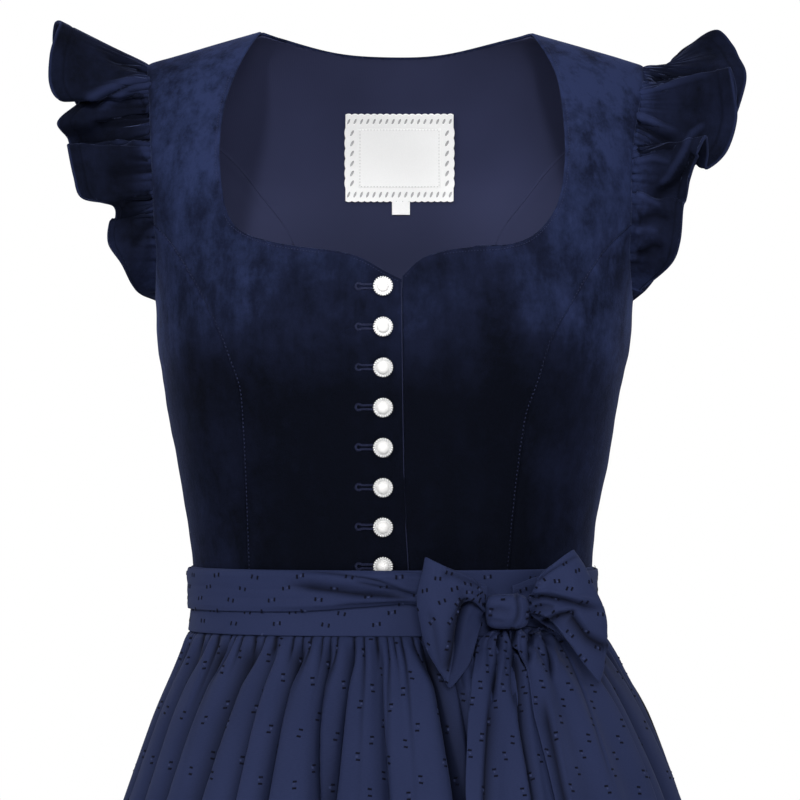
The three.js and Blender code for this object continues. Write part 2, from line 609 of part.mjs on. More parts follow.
const apronRise = reader([
  { z: BAND_BOTTOM_Z, rise: 0.6 }, { z: -383, rise: 2.6 }, { z: -400, rise: 5 }, { z: -430, rise: 8 },
  { z: -481, rise: 11 }, { z: -700, rise: 18 }, { z: APRON_HEM_Z, rise: 24 },
], 'z');
const APRON_CLEAR = 1.4; // least distance between the apron and the skirt's highest folds under it
const SWAY_Z = -560; // where a crease has swayed all the way

function creaseAngle({ at, sway }, z) {
  return at + sway * (1 - smooth(SWAY_Z, BAND_BOTTOM_Z, z));
}

// How far the apron's lowest creases and its highest folds stand out from the skirt's ring.
function apronFloor(z) {
  return (SKIRT_CLOTH + APRON_CLOTH) / 2 + APRON_CLEAR + skirtRise(z).rise * SKIRT_FOLD.underApron;
}

function apronTop(z) {
  return apronFloor(z) + apronRise(z).rise;
}

function apronPoint(theta, z) {
  const sunk = apronCreases.reduce((sum, crease) => {
    const off = (theta - creaseAngle(crease, z)) / crease.wide;
    return sum + crease.deep * Math.exp(-off * off);
  }, 0);
  return skirtPoint(theta, z, apronFloor(z) + apronRise(z).rise * (1 - Math.min(sunk, 1)));
}

{
  const heights = [APRON_HEM_Z, ...skirtHeights.filter((z) => z > APRON_HEM_Z && z < BAND_BOTTOM_Z - 1),
    BAND_BOTTOM_Z - SEAM_GAP];
  // A column of points down each crease, beside it, and along the fold between two creases.
  const columns = [heights.map(() => APRON.from)];
  apronCreases.forEach((crease, k) => {
    for (const beside of [-1.15, 0, 1.15]) {
      columns.push(heights.map((z) => creaseAngle(crease, z) + beside * crease.wide));
    }
    const next = apronCreases[k + 1];
    if (next) columns.push(heights.map((z) => (creaseAngle(crease, z) + creaseAngle(next, z)) / 2));
  });
  columns.push(heights.map(() => APRON.to));
  add('apron_panel', drapedCloth(apronPoint, columns, heights, APRON_CLOTH), apronMaterial);
}

// ---------- apron band and ties ----------
const bandRing = reader([
  { z: -331, half: 128.6, front: 93.9, back: 81.0, centre: -1.0 },
  { z: -345, half: 128.0, front: 93.2, back: 80.6, centre: -1.0 },
  { z: -352, half: 128.2, front: 93.3, back: 81.0, centre: -1.0 },
  { z: -362, half: 129.6, front: 95.2, back: 83.2, centre: -0.6 },
  { z: BAND_BOTTOM_Z, half: 131.8, front: 97.6, back: 86.4, centre: 0.4 },
], 'z');
const TIE_STEP = APRON_CLOTH + SEAM_GAP; // from the band's cloth to the tie's cloth over it
const BAND_TOP_Z = -331;

// The band bulges where its top edge crosses the lowest button.
const BUTTON_BULGE = { x: BUTTON.x, z: -331, wide: 12, tall: 7, out: 4.4 };

function bandPoint(theta, z, out = 0) {
  const { x, y } = ringPoint(theta, bandRing(z), out);
  const across = (x - BUTTON_BULGE.x) / BUTTON_BULGE.wide;
  const down = (z - BUTTON_BULGE.z) / BUTTON_BULGE.tall;
  const bulge = y < 0 ? BUTTON_BULGE.out * Math.exp(-across * across - down * down) : 0;
  return new THREE.Vector3(x, y - bulge, z);
}

// A tie wound round the waist: its edges by angle, and folds that run along it.
function woundTie(name, rows, { columns, folds, liftAt }) {
  const edges = reader(rows, 'theta');
  const thetas = steps(rows[0].theta, rows[rows.length - 1].theta, columns);
  const points = folds.map(({ up, out }) => thetas.map((theta) => {
    const { low, high } = edges(theta);
    return bandPoint(theta, THREE.MathUtils.lerp(low, high, up), liftAt(theta) + out);
  }));
  add(name, wallGeometry(points, gridNormals(points), APRON_CLOTH), apronMaterial);
}

{
  const heights = [BAND_BOTTOM_Z, -352, -341, -335.5, BAND_TOP_Z];
  const band = drapedCloth(bandPoint, steps(APRON.from, APRON.to, 40), heights, APRON_CLOTH);
  add('apron_waistband', band, apronMaterial);
}

const tieFolds = [
  { up: 0, out: 0.4 }, { up: 0.22, out: 1.1 }, { up: 0.5, out: 0.6 }, { up: 0.75, out: 1.5 },
  { up: 1, out: 0.4 },
];
woundTie('tie_front_right', [
  { theta: -112, low: -360, high: -332 }, { theta: -90, low: -358, high: -332 },
  { theta: -40, low: -357, high: -331.5 }, { theta: -12, low: -354, high: -331.5 },
  { theta: 8, low: -352, high: -333 }, { theta: 33, low: -357, high: -340 },
], {
  columns: 28, folds: tieFolds, liftAt: (theta) => TIE_STEP * smooth(-110, -102, theta),
});
woundTie('tie_front_left', [
  { theta: 42, low: -365, high: -341 }, { theta: 52, low: -368, high: -335 },
  { theta: 70, low: -369, high: -333 }, { theta: 97, low: -366, high: -332 },
], {
  columns: 12, folds: tieFolds, liftAt: (theta) => TIE_STEP * (1 - smooth(84, 92, theta)),
});
woundTie('tie_back', [
  { theta: 97 + 2 * SEAM_ANGLE, low: -366, high: -332 }, { theta: 180, low: -369, high: -333 },
  { theta: 248 - 2 * SEAM_ANGLE, low: -360, high: -332 },
], { columns: 28, folds: tieFolds, liftAt: () => 0 });

// ---------- bow ----------
// A ribbon between two edges, read from sections that each cross it from the upper edge to the lower.
// The middle of a section may bulge to one side and to the front.
function ribbonPoints(sections, across, perSection) {
  const through = (pointOf) => new THREE.CatmullRomCurve3(sections.map(pointOf));
  const upper = through(({ x, y, z }) => new THREE.Vector3(x, y, z));
  const lower = through(({ lowX, lowY, lowZ }) => new THREE.Vector3(lowX, lowY, lowZ));
  const bulge = through(({ side = 0, fore = 0 }) => new THREE.Vector3(side, -fore, 0));
  const count = (sections.length - 1) * perSection;
  return steps(0, 1, across).map((s) => steps(0, 1, count).map((t) => upper.getPoint(t)
    .lerp(lower.getPoint(t), s)
    .addScaledVector(bulge.getPoint(t), Math.sin(Math.PI * s))));
}

function addRibbon(name, sections, across, perSection, thickness, material) {
  const points = ribbonPoints(sections, across, perSection);
  add(name, wallGeometry(points, gridNormals(points), thickness), material);
}

const KNOT = { x: 70, y: -96.6, z: -356.4, wide: 13.4, deep: 10, tall: 10.8, square: 0.66 };
{
  const geometry = new THREE.SphereGeometry(1, 14, 9);
  const place = geometry.attributes.position;
  const round = (v) => Math.sign(v) * Math.abs(v) ** KNOT.square;
  for (let k = 0; k < place.count; k += 1) {
    const [x, y, z] = [place.getX(k), place.getZ(k), place.getY(k)].map(round);
    place.setXYZ(k, KNOT.wide * x, KNOT.deep * y, KNOT.tall * z);
  }
  geometry.deleteAttribute('normal');
  geometry.deleteAttribute('uv');
  const turned = facingOut([...place.array], [...geometry.index.array]);
  turned.translate(KNOT.x, KNOT.y, KNOT.z);
  add('bow_knot', turned, apronMaterial);
}
addRibbon('bow_loop_right', [
  { x: 55.8, y: -98.5, z: -349, lowX: 55.8, lowY: -98.5, lowZ: -356.7 },
  { x: 52, y: -107, z: -338, lowX: 48, lowY: -108, lowZ: -349.5 },
  { x: 42.4, y: -111, z: -332.2, lowX: 41.8, lowY: -114, lowZ: -352 },
  { x: 33.2, y: -113, z: -328.5, lowX: 38.1, lowY: -120, lowZ: -363 },
  { x: 25.1, y: -113, z: -324.8, lowX: 36.3, lowY: -124, lowZ: -380, side: -7, fore: 2 },
  { x: 19.6, y: -108, z: -322.3, lowX: 33.8, lowY: -121, lowZ: -402, side: -11 },
  { x: 22.5, y: -103, z: -325.2, lowX: 42.4, lowY: -115, lowZ: -394, side: -6 },
  { x: 31.3, y: -100, z: -332.5, lowX: 47.4, lowY: -111, lowZ: -386 },
  { x: 41, y: -98, z: -340.5, lowX: 51.1, lowY: -106, lowZ: -373.6 },
  { x: 55.6, y: -94.5, z: -350, lowX: 54, lowY: -96.5, lowZ: -363 },
], 4, 2, APRON_CLOTH, apronMaterial);
addRibbon('bow_loop_left', [
  { x: 83.5, y: -98.2, z: -350, lowX: 83.8, lowY: -98.2, lowZ: -357.3 },
  { x: 90, y: -102, z: -334, lowX: 95, lowY: -104, lowZ: -360 },
  { x: 100, y: -100, z: -325.6, lowX: 105.2, lowY: -103, lowZ: -372 },
  { x: 106.6, y: -96, z: -320.8, lowX: 117.8, lowY: -102, lowZ: -389, side: 5, fore: 3 },
  { x: 111.2, y: -90, z: -318.4, lowX: 127.2, lowY: -97, lowZ: -400.5, side: 11.5 },
  { x: 106, y: -85, z: -324.5, lowX: 121.5, lowY: -92, lowZ: -391, side: 7 },
  { x: 96, y: -88, z: -336, lowX: 106.5, lowY: -93, lowZ: -374 },
  { x: 84.4, y: -93, z: -350, lowX: 85, lowY: -94.5, lowZ: -359 },
], 4, 2, APRON_CLOTH, apronMaterial);

const TAIL_START_OUT = 9.5; // how far out from the skirt's ring a tail leaves the knot

// A hanging tail lies over the apron between two edges, read by height, with its own soft folds.
function addTail(name, rows, { lift, endZ, columns, ridges }) {
  const edges = reader(rows, 'z');
  const heights = [endZ, -700, -620, -540, -481, -450, -425, -405, -390, -380, -373, rows[0].z];
  const points = heights.map((z) => steps(0, 1, columns).map((s) => {
    const { from, to } = edges(z);
    const ridge = ridges * (0.5 - 0.5 * Math.cos(2 * Math.PI * (s * 2.5 + 0.1)));
    const out = Math.max(TAIL_START_OUT, apronTop(z) + APRON_CLOTH + SEAM_GAP * 2);
    return skirtPoint(THREE.MathUtils.lerp(from, to, s), z, out + lift + ridge);
  }));
  add(name, wallGeometry(points, gridNormals(points), APRON_CLOTH), apronMaterial);
}
addTail('bow_tail_lower', [
  { z: -367.8, from: 33, to: 36 }, { z: -374, from: 27.5, to: 36.5 }, { z: -402, from: 19.6, to: 37 },
  { z: -434, from: 15.3, to: 38 }, { z: -471, from: 12.8, to: 38.5 }, { z: -600, from: 12, to: 38 },
  { z: -800, from: 12, to: 37 },
], { lift: 0, endZ: -800, columns: 6, ridges: 1.5 });
addTail('bow_tail_upper', [
  { z: -367.8, from: 37.2, to: 48 }, { z: -374, from: 37, to: 53.5 }, { z: -390, from: 36.5, to: 55.5 },
  { z: -423, from: 33.2, to: 57 }, { z: -471, from: 32.3, to: 57 }, { z: -600, from: 32, to: 55.5 },
  { z: -780, from: 32, to: 53 },
], { lift: 3.4, endZ: -780, columns: 8, ridges: 2.5 });

// ---------- armhole ruffles ----------
// Each row is one place along the armhole, from the underarm up the front, over the shoulder and down
// the back: how far the ruffle's free edge stands out to the side, to the front and up from its seam.
const ruffleFolds = {
  right: [
    { along: 0, out: 2, fore: 0, up: 0 }, { along: 0.12, out: 24, fore: 8, up: 0 },
    { along: 0.16, out: 28, fore: 4, up: 0 }, { along: 0.2, out: 25, fore: -10, up: -3 },
    { along: 0.225, out: 24, fore: 6, up: -7 }, { along: 0.25, out: 41, fore: 22, up: -14 },
    { along: 0.285, out: 48, fore: 22, up: -8 }, { along: 0.32, out: 51, fore: 12, up: -5 },
    { along: 0.345, out: 50, fore: -8, up: -16 }, { along: 0.37, out: 53, fore: -8, up: -2 },
    { along: 0.395, out: 58, fore: 8, up: -8 }, { along: 0.42, out: 49, fore: -6, up: -8 },
    { along: 0.44, out: 57, fore: 18, up: -13 }, { along: 0.465, out: 62, fore: 24, up: -8 },
    { along: 0.49, out: 62, fore: 20, up: 4 }, { along: 0.52, out: 54, fore: 6, up: 26 },
    { along: 0.55, out: 60, fore: -12, up: 14 }, { along: 0.6, out: 60, fore: -26, up: -4 },
    { along: 0.65, out: 48, fore: -8, up: 2 }, { along: 0.7, out: 52, fore: -24, up: -8 },
    { along: 0.76, out: 38, fore: -6, up: -2 }, { along: 0.82, out: 38, fore: -20, up: -8 },
    { along: 0.88, out: 24, fore: -5, up: -2 }, { along: 0.94, out: 18, fore: -9, up: -3 },
    { along: 1, out: 2, fore: 0, up: 0 },
  ],
  left: [
    { along: 0, out: 2, fore: 0, up: 0 }, { along: 0.06, out: 8, fore: 4, up: -1 },
    { along: 0.09, out: 9, fore: -4, up: -5 }, { along: 0.13, out: 27, fore: 8, up: -2 },
    { along: 0.18, out: 33, fore: 12, up: -5 }, { along: 0.23, out: 34, fore: 6, up: -2 },
    { along: 0.26, out: 36, fore: 2, up: -7 }, { along: 0.29, out: 39, fore: 20, up: 2 },
    { along: 0.315, out: 46, fore: 28, up: 11 }, { along: 0.335, out: 48, fore: 15, up: -6 },
    { along: 0.36, out: 53, fore: 5, up: -26 }, { along: 0.39, out: 62, fore: 13, up: -20 },
    { along: 0.415, out: 64, fore: 17, up: -11 }, { along: 0.44, out: 59, fore: 19, up: -3 },
    { along: 0.46, out: 57, fore: 15, up: 2 }, { along: 0.475, out: 59, fore: 5, up: -9 },
    { along: 0.495, out: 66, fore: -1, up: -8 }, { along: 0.52, out: 64, fore: -5, up: -1 },
    { along: 0.55, out: 60, fore: -13, up: 9 }, { along: 0.59, out: 54, fore: -18, up: 18 },
    { along: 0.64, out: 58, fore: -28, up: -2 }, { along: 0.7, out: 46, fore: -8, up: 0 },
    { along: 0.76, out: 50, fore: -24, up: -8 }, { along: 0.82, out: 34, fore: -6, up: -2 },
    { along: 0.88, out: 32, fore: -16, up: -6 }, { along: 0.94, out: 16, fore: -6, up: -2 },
    { along: 1, out: 2, fore: 0, up: 0 },
  ],
};
const ARMHOLE_CENTRE = { y: 4, z: -88 };
const RUFFLE_SEAT = RUFFLE_CLOTH / 2 + 1.7; // from the panel's edge to the middle of the ruffle's cloth

function armholeCurve(side) {
  const { sign, sideSeam, shoulderOut } = sides[side];
  const joinX = frontPrincess[side](ARMHOLE_JOIN_Z).x;
  const backEdge = reader([
    { z: BACK_JOIN_Z, x: sign * BACK_JOIN_X }, { z: shoulderHeight(shoulderOut), x: shoulderOut },
  ], 'z');
  const topZ = shoulderHeight(shoulderOut);
  const spots = joined(
    spread(underarmSpots(side, joinX, ARMHOLE_JOIN_Z, 'front').reverse(), 8),
    spread(seamSpots(armholeFront[side], ARMHOLE_JOIN_Z, topZ, 'front'), 10),
    spread(seamSpots(backEdge, topZ, BACK_JOIN_Z, 'back'), 6),
    spread(underarmSpots(side, sign * BACK_JOIN_X, BACK_JOIN_Z, 'back'), 12),
  );
  const points = spots.map((place) => {
    const point = bodyPoint(place);
    const into = new THREE.Vector3(0, ARMHOLE_CENTRE.y - point.y, ARMHOLE_CENTRE.z - point.z).normalize();
    return point.addScaledVector(into, RUFFLE_SEAT).add(new THREE.Vector3(sign * 0.4, 0, 0));
  });
  return new THREE.CatmullRomCurve3(points);
}

for (const side of ['right', 'left']) {
  const { sign } = sides[side];
  const armhole = armholeCurve(side);
  const sections = ruffleFolds[side].map(({ along, out, fore, up }) => {
    const root = armhole.getPointAt(along);
    return {
      x: root.x, y: root.y, z: root.z, lowX: root.x + sign * out, lowY: root.y - fore, lowZ: root.z + up,
    };
  });
  addRibbon(`ruffle_${side}`, sections, 3, 2, RUFFLE_CLOTH, velvetMaterial);
}

export default dress;
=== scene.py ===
import math

import bmesh
import bpy
import numpy as np
from mathutils import Matrix, Vector


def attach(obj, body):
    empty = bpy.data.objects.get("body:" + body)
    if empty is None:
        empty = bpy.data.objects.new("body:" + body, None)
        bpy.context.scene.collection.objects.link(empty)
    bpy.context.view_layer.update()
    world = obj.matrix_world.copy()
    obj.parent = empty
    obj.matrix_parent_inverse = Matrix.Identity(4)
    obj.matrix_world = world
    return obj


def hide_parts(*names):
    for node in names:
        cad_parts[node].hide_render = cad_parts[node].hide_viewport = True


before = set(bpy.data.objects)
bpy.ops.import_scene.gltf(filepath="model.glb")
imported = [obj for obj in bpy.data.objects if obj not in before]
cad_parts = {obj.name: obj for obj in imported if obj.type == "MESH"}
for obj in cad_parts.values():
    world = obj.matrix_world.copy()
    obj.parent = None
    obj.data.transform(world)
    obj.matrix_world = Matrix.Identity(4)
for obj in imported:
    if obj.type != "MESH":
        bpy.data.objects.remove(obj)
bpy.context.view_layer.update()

bpy.ops.object.select_all(action="DESELECT")

# ---------------------------------------------------------------- bodice front
# Four panels of navy cotton velvet, sewn together at two princess seams that run into the armholes.
# They are cut to follow the chest and closed in the middle, the wearer's right over the left.
MM = 0.001
VELVET = 1.5
SEAM_GAP = 0.3
SEAM_LAP = 0.1
SHOULDER_Y = 8
SHOULDER_ROUND = 110
QUARTER_ROUND = SHOULDER_ROUND * math.pi / 2
SHOULDER_SEAM_WAY = 0.05
RING_POWER = 2.3
HEIGHT_ROUNDS = 8
WAIST_Z = -352


def smooth_table(rows):
    """Reads rows of (key, value, ...) at any key, smoothly and without overshoot."""
    rows = np.array(sorted(rows), float)
    keys, values = rows[:, 0], rows[:, 1:]
    rise = np.diff(values, axis=0) / np.diff(keys)[:, None]
    slopes = np.empty_like(values)
    slopes[0], slopes[-1] = rise[0], rise[-1]
    same_way = rise[:-1] * rise[1:] > 0
    total = np.where(same_way, rise[:-1] + rise[1:], 1)
    slopes[1:-1] = np.where(same_way, 2 * rise[:-1] * rise[1:] / total, 0)

    def at(key):
        key = np.clip(np.asarray(key, float), keys[0], keys[-1])
        i = np.clip(np.searchsorted(keys, key) - 1, 0, len(keys) - 2)
        span = (keys[i + 1] - keys[i])[..., None]
        t = (key - keys[i])[..., None] / span
        p, q, m, n = values[i], values[i + 1], slopes[i] * span, slopes[i + 1] * span
        read = p + t * (m + t * (3 * (q - p) - 2 * m - n + t * (m + n - 2 * (q - p))))
        return np.moveaxis(read, -1, 0)

    return at


# Height, half width, depth in front, depth behind, sideways shift of the middle.
body_ring = smooth_table([
    (-352, 125.0, 90, 78, -1.0), (-328, 126.9, 92, 79, -1.0), (-302, 130.1, 96, 82, -1.3),
    (-264, 137.1, 104, 88, -1.3), (-212, 146.4, 113, 95, -1.0), (-187, 150.6, 116, 98, -0.6),
    (-162, 152.0, 116, 100, 0), (-130, 158.5, 109, 101.5, 0), (-100, 167.0, 100, 101, 0),
    (-50, 170.0, 88, 93, 0), (40, 170.0, 74, 68, 0),
])
BUST = {"x": 72, "z": -196, "wide": 46, "tall": 44, "out": 6}


def shoulder_height(x):
    return 38.6 - 0.307 * np.hypot(x, 30)


def ring_point(theta, ring, out=0.0):
    """x and y of a ring's point, at an angle from the centre front towards the wearer's left."""
    half, front, back, centre = ring
    s, c = np.sin(np.radians(theta)), np.cos(np.radians(theta))
    depth = np.where(c >= 0, front, back)
    spans = np.abs(s / half) ** RING_POWER + np.abs(c / depth) ** RING_POWER
    radius = spans ** (-1 / RING_POWER) + out
    return centre + radius * s, -radius * c


def angle_at_x(x, ring, face):
    half, front, back, centre = ring
    share = np.minimum(np.abs(x - centre) / half, 1)
    depth = (1 - share**RING_POWER) ** (1 / RING_POWER) * (front if face == "front" else -back)
    angle = np.degrees(np.arctan2(x - centre, depth))
    return np.where((face == "back") & (angle < 0), angle + 360, angle)


def way_down(x, z):
    """How far a point is from the shoulder line, along the rounded shoulder."""
    drop = np.maximum(shoulder_height(x) - z, 0)
    round_way = SHOULDER_ROUND * np.arccos(1 - np.minimum(drop / SHOULDER_ROUND, 1))
    return np.where(drop >= SHOULDER_ROUND, QUARTER_ROUND + drop - SHOULDER_ROUND, round_way)


def drop_of(way):
    on_round = SHOULDER_ROUND * (1 - np.cos(np.clip(way, 0, QUARTER_ROUND) / SHOULDER_ROUND))
    return np.where(way >= QUARTER_ROUND, SHOULDER_ROUND + way - QUARTER_ROUND, on_round)


def body_point(spots):
    """Points of the body, in millimetres, from pairs of angle and way down."""
    theta, way = spots[..., 0], spots[..., 1]
    drop = drop_of(way)
    z = -drop
    for _ in range(HEIGHT_ROUNDS):
        x, y = ring_point(theta, body_ring(z))
        z = shoulder_height(x) - drop
    x, y = ring_point(theta, body_ring(z))
    bump = np.exp(-((np.abs(x) - BUST["x"]) / BUST["wide"]) ** 2 - ((z - BUST["z"]) / BUST["tall"]) ** 2)
    bust = np.where(y < 0, BUST["out"] * bump, 0)
    reach = np.sqrt(1 - (1 - np.minimum(drop / SHOULDER_ROUND, 1)) ** 2)
    return np.stack([x, SHOULDER_Y + (y - bust - SHOULDER_Y) * reach, z], axis=-1)


def unit(vectors):
    return vectors / np.maximum(np.linalg.norm(vectors, axis=-1, keepdims=True), 1e-9)


def body_normal(spots, step=0.4):
    around, down = np.array([step, 0]), np.array([0, step])
    along = body_point(spots + around) - body_point(spots - around)
    above = spots - down
    above[..., 1] = np.maximum(above[..., 1], 0)
    return unit(np.cross(along, body_point(above) - body_point(spots + down)))


def spot(x, z, face):
    """The angle and way down of a point of the front or back view."""
    x, z = np.broadcast_arrays(np.asarray(x, float), np.asarray(z, float))
    return np.stack([angle_at_x(x, body_ring(z), face), way_down(x, z)], axis=-1)


def spread(spots, count):
    """Spots along the same line, shared out evenly by their real distance."""
    far = np.r_[0, np.cumsum(np.linalg.norm(np.diff(body_point(spots), axis=0), axis=1))]
    want = np.linspace(0, far[-1], count + 1)
    return np.stack([np.interp(want, far, spots[:, k]) for k in (0, 1)], axis=1)


def seam_spots(x_at, from_z, to_z, face, steps=90):
    z = np.linspace(from_z, to_z, steps + 1)
    return spot(x_at(z)[0], z, face)


def through(points, steps):
    """A smooth line through a few points."""
    points = np.array(points, float)
    ahead = np.vstack([2 * points[0] - points[1], points, 2 * points[-1] - points[-2]])
    t = np.linspace(0, len(points) - 1, steps + 1)
    i = np.minimum(t.astype(int), len(points) - 2)
    f = (t - i)[:, None]
    p, q, r, s = (ahead[i + k] for k in range(4))
    return 0.5 * (2 * q + f * (r - p + f * (2 * p - 5 * q + 4 * r - s + f * (3 * q - p - 3 * r + s))))


def line_spots(points, face, steps=160):
    line = through(points, steps)
    return spot(line[:, 0], line[:, 1], face)


def joined(*runs):
    return np.vstack([run if k == 0 else run[1:] for k, run in enumerate(runs)])


def shifted(spots, distance):
    """An edge moved round the body, to meet its neighbour in the seam."""
    x, y = ring_point(spots[:, 0], body_ring(-drop_of(spots[:, 1])))
    moved = spots.copy()
    moved[:, 0] += np.degrees(distance / np.hypot(x, y))
    return moved


def net(bottom, top, left, right):
    """The spots between four edges that share their corners."""
    s = np.linspace(0, 1, len(bottom))[None, :, None]
    t = np.linspace(0, 1, len(left))[:, None, None]
    across = (1 - s) * left[:, None] + s * right[:, None]
    along = (1 - t) * bottom[None] + t * top[None]
    corners = (1 - t) * ((1 - s) * left[0] + s * right[0]) + t * ((1 - s) * left[-1] + s * right[-1])
    return across + along - corners


def grid_normals(points):
    along = np.gradient(points, axis=1)
    up = np.gradient(points, axis=0)
    return unit(np.cross(along, up))


def edge_distances(points):
    """How far each point of a grid is from its left, right, bottom and top edge, in millimetres."""
    run = np.linalg.norm(np.diff(points, axis=1), axis=2)
    rise = np.linalg.norm(np.diff(points, axis=0), axis=2)
    left = np.pad(np.cumsum(run, axis=1), ((0, 0), (1, 0)))
    bottom = np.pad(np.cumsum(rise, axis=0), ((1, 0), (0, 0)))
    return left, left[:, -1:] - left, bottom, bottom[-1:] - bottom


RIM_STEPS = 3


def new_piece(name, mesh):
    piece = bpy.data.objects.new(name, mesh)
    bpy.context.scene.collection.objects.link(piece)
    return piece


def cloth_object(name, points, normals, thickness, uv, fold=None):
    """A closed cloth wall with a round rim, from a grid of points in millimetres.

    The fold, 1 in a hollow and -1 on a crest, becomes an attribute that the materials read for painted shade
    in the hollows and, on the velvet, painted highlights on the crests.
    """
    rows, columns = points.shape[:2]
    ring = [(j, 0) for j in range(rows - 1)] + [(rows - 1, i) for i in range(columns - 1)]
    ring += [(j, columns - 1) for j in range(rows - 1, 0, -1)] + [(0, i) for i in range(columns - 1, 0, -1)]
    j, i = np.array(ring).T
    half = thickness / 2
    middle, across = points[j, i], normals[j, i]
    ahead = unit(np.roll(middle, -1, axis=0) - np.roll(middle, 1, axis=0))
    outwards = unit(np.cross(across, ahead))
    inside = points[np.clip(j, 1, rows - 2), np.clip(i, 1, columns - 2)]
    flip = np.sign(np.einsum("ij,ij->i", outwards, middle - inside))
    outwards *= np.where(flip == 0, 1, flip)[:, None]
    seat = middle - outwards * half
    core = points.copy()
    core[j, i] = seat
    faces = [core + normals * half, core - normals * half]
    turns = [math.pi * (k + 1) / (RIM_STEPS + 1) for k in range(RIM_STEPS)]
    stations = [seat + half * (math.sin(turn) * outwards + math.cos(turn) * across) for turn in turns]
    vertices = np.vstack([face.reshape(-1, 3) for face in faces] + stations) * MM
    count, loop = rows * columns, len(ring)
    grid = np.arange(count).reshape(rows, columns)
    quads = np.stack([grid[:-1, :-1], grid[:-1, 1:], grid[1:, 1:], grid[1:, :-1]], axis=-1).reshape(-1, 4)
    first = grid[j, i]
    lines = [first] + [2 * count + k * loop + np.arange(loop) for k in range(RIM_STEPS)] + [first + count]
    rims = [
        np.stack([np.roll(a, -1), np.roll(b, -1), b, a], axis=-1)
        for a, b in zip(lines[:-1], lines[1:])
    ]
    mesh = bpy.data.meshes.new(name)
    mesh.from_pydata(vertices.tolist(), [], np.vstack([quads, quads[:, ::-1] + count, *rims]).tolist())
    flat = np.vstack([uv.reshape(-1, 2)] * 2 + [uv[j, i]] * RIM_STEPS) * MM
    layer = mesh.uv_layers.new(name="cloth")
    used = np.empty(len(mesh.loops), np.int32)
    mesh.loops.foreach_get("vertex_index", used)
    layer.data.foreach_set("uv", flat[used].astype(np.float32).ravel())
    if fold is not None:
        deepness = np.concatenate([fold.ravel()] * 2 + [fold[j, i]] * RIM_STEPS)
        mesh.attributes.new("fold", "FLOAT", "POINT").data.foreach_set("value", deepness.astype(np.float32))
    mesh.update()
    volume = bmesh.new()
    volume.from_mesh(mesh)
    if volume.calc_volume(signed=True) < 0:
        bmesh.ops.reverse_faces(volume, faces=volume.faces)
    volume.to_mesh(mesh)
    volume.free()
    mesh.shade_smooth()
    return new_piece(name, mesh)


def cloth_uv(points):
    """Flat cloth coordinates in millimetres, measured along the rows and up the columns."""
    left, _, bottom, _ = edge_distances(points)
    return np.stack([left - left[:, -1:] / 2, bottom], axis=-1)


class Nodes:
    """Adds nodes to a material and links their inputs by name."""

    def __init__(self, name):
        self.material = bpy.data.materials.new(name)
        self.material.use_nodes = True
        self.tree = self.material.node_tree
        self.shader = self.tree.nodes["Principled BSDF"]
        self.place = self.add("ShaderNodeTexCoord").outputs["Object"]

    def add(self, kind, inputs=None, **settings):
        node = self.tree.nodes.new(kind)
        for key, value in settings.items():
            setattr(node, key, value)
        for key, value in (inputs or {}).items():
            self.set(node.inputs[key], value)
        return node

    def set(self, socket, value):
        if isinstance(value, bpy.types.NodeSocket):
            self.tree.links.new(value, socket)
        else:
            socket.default_value = value

    def math(self, operation, a, b=0.0):
        return self.add("ShaderNodeMath", {0: a, 1: b}, operation=operation).outputs[0]

    def noise(self, vector, scale, detail=3.0, roughness=0.5):
        inputs = {"Vector": vector, "Scale": scale, "Detail": detail, "Roughness": roughness}
        return self.add("ShaderNodeTexNoise", inputs).outputs["Fac"]

    def ramp(self, value, low, high, to_low=0.0, to_high=1.0):
        inputs = {"Value": value, "From Min": low, "From Max": high, "To Min": to_low, "To Max": to_high}
        return self.add("ShaderNodeMapRange", inputs).outputs[0]

    def mix(self, factor, a, b):
        return self.add("ShaderNodeMix", {0: factor, 6: a, 7: b}, data_type="RGBA").outputs[2]

    def clouds(self, a, b, scale, detail=3.0, roughness=0.5):
        """A colour that wanders softly from one tone to another."""
        return self.mix(self.ramp(self.noise(self.place, scale, detail, roughness), 0.3, 0.7), a, b)

    def fold(self):
        return self.add("ShaderNodeAttribute", attribute_name="fold").outputs["Fac"]

    def bump(self, height, strength, distance, before=None):
        inputs = {"Height": height, "Strength": strength, "Distance": distance}
        if before is not None:
            inputs["Normal"] = before
        return self.add("ShaderNodeBump", inputs).outputs[0]

    def finish(self, sockets):
        """Fills the shader's own sockets and gives the finished material."""
        for key, value in sockets.items():
            self.set(self.shader.inputs[key], value)
        return self.material


# The hollow tone is painted shade for the folds' hollows and the crest tone is a painted highlight for their
# crests.
VELVET_TONES = {
    "dark": (0.0016, 0.0021, 0.0042, 1), "middle": (0.0062, 0.0085, 0.0230, 1),
    "bright": (0.0165, 0.0240, 0.0680, 1), "hollow": (0.0010, 0.0013, 0.0028, 1),
    "crest": (0.0230, 0.0320, 0.0880, 1), "pile": (0.0110, 0.0150, 0.0380, 1),
}


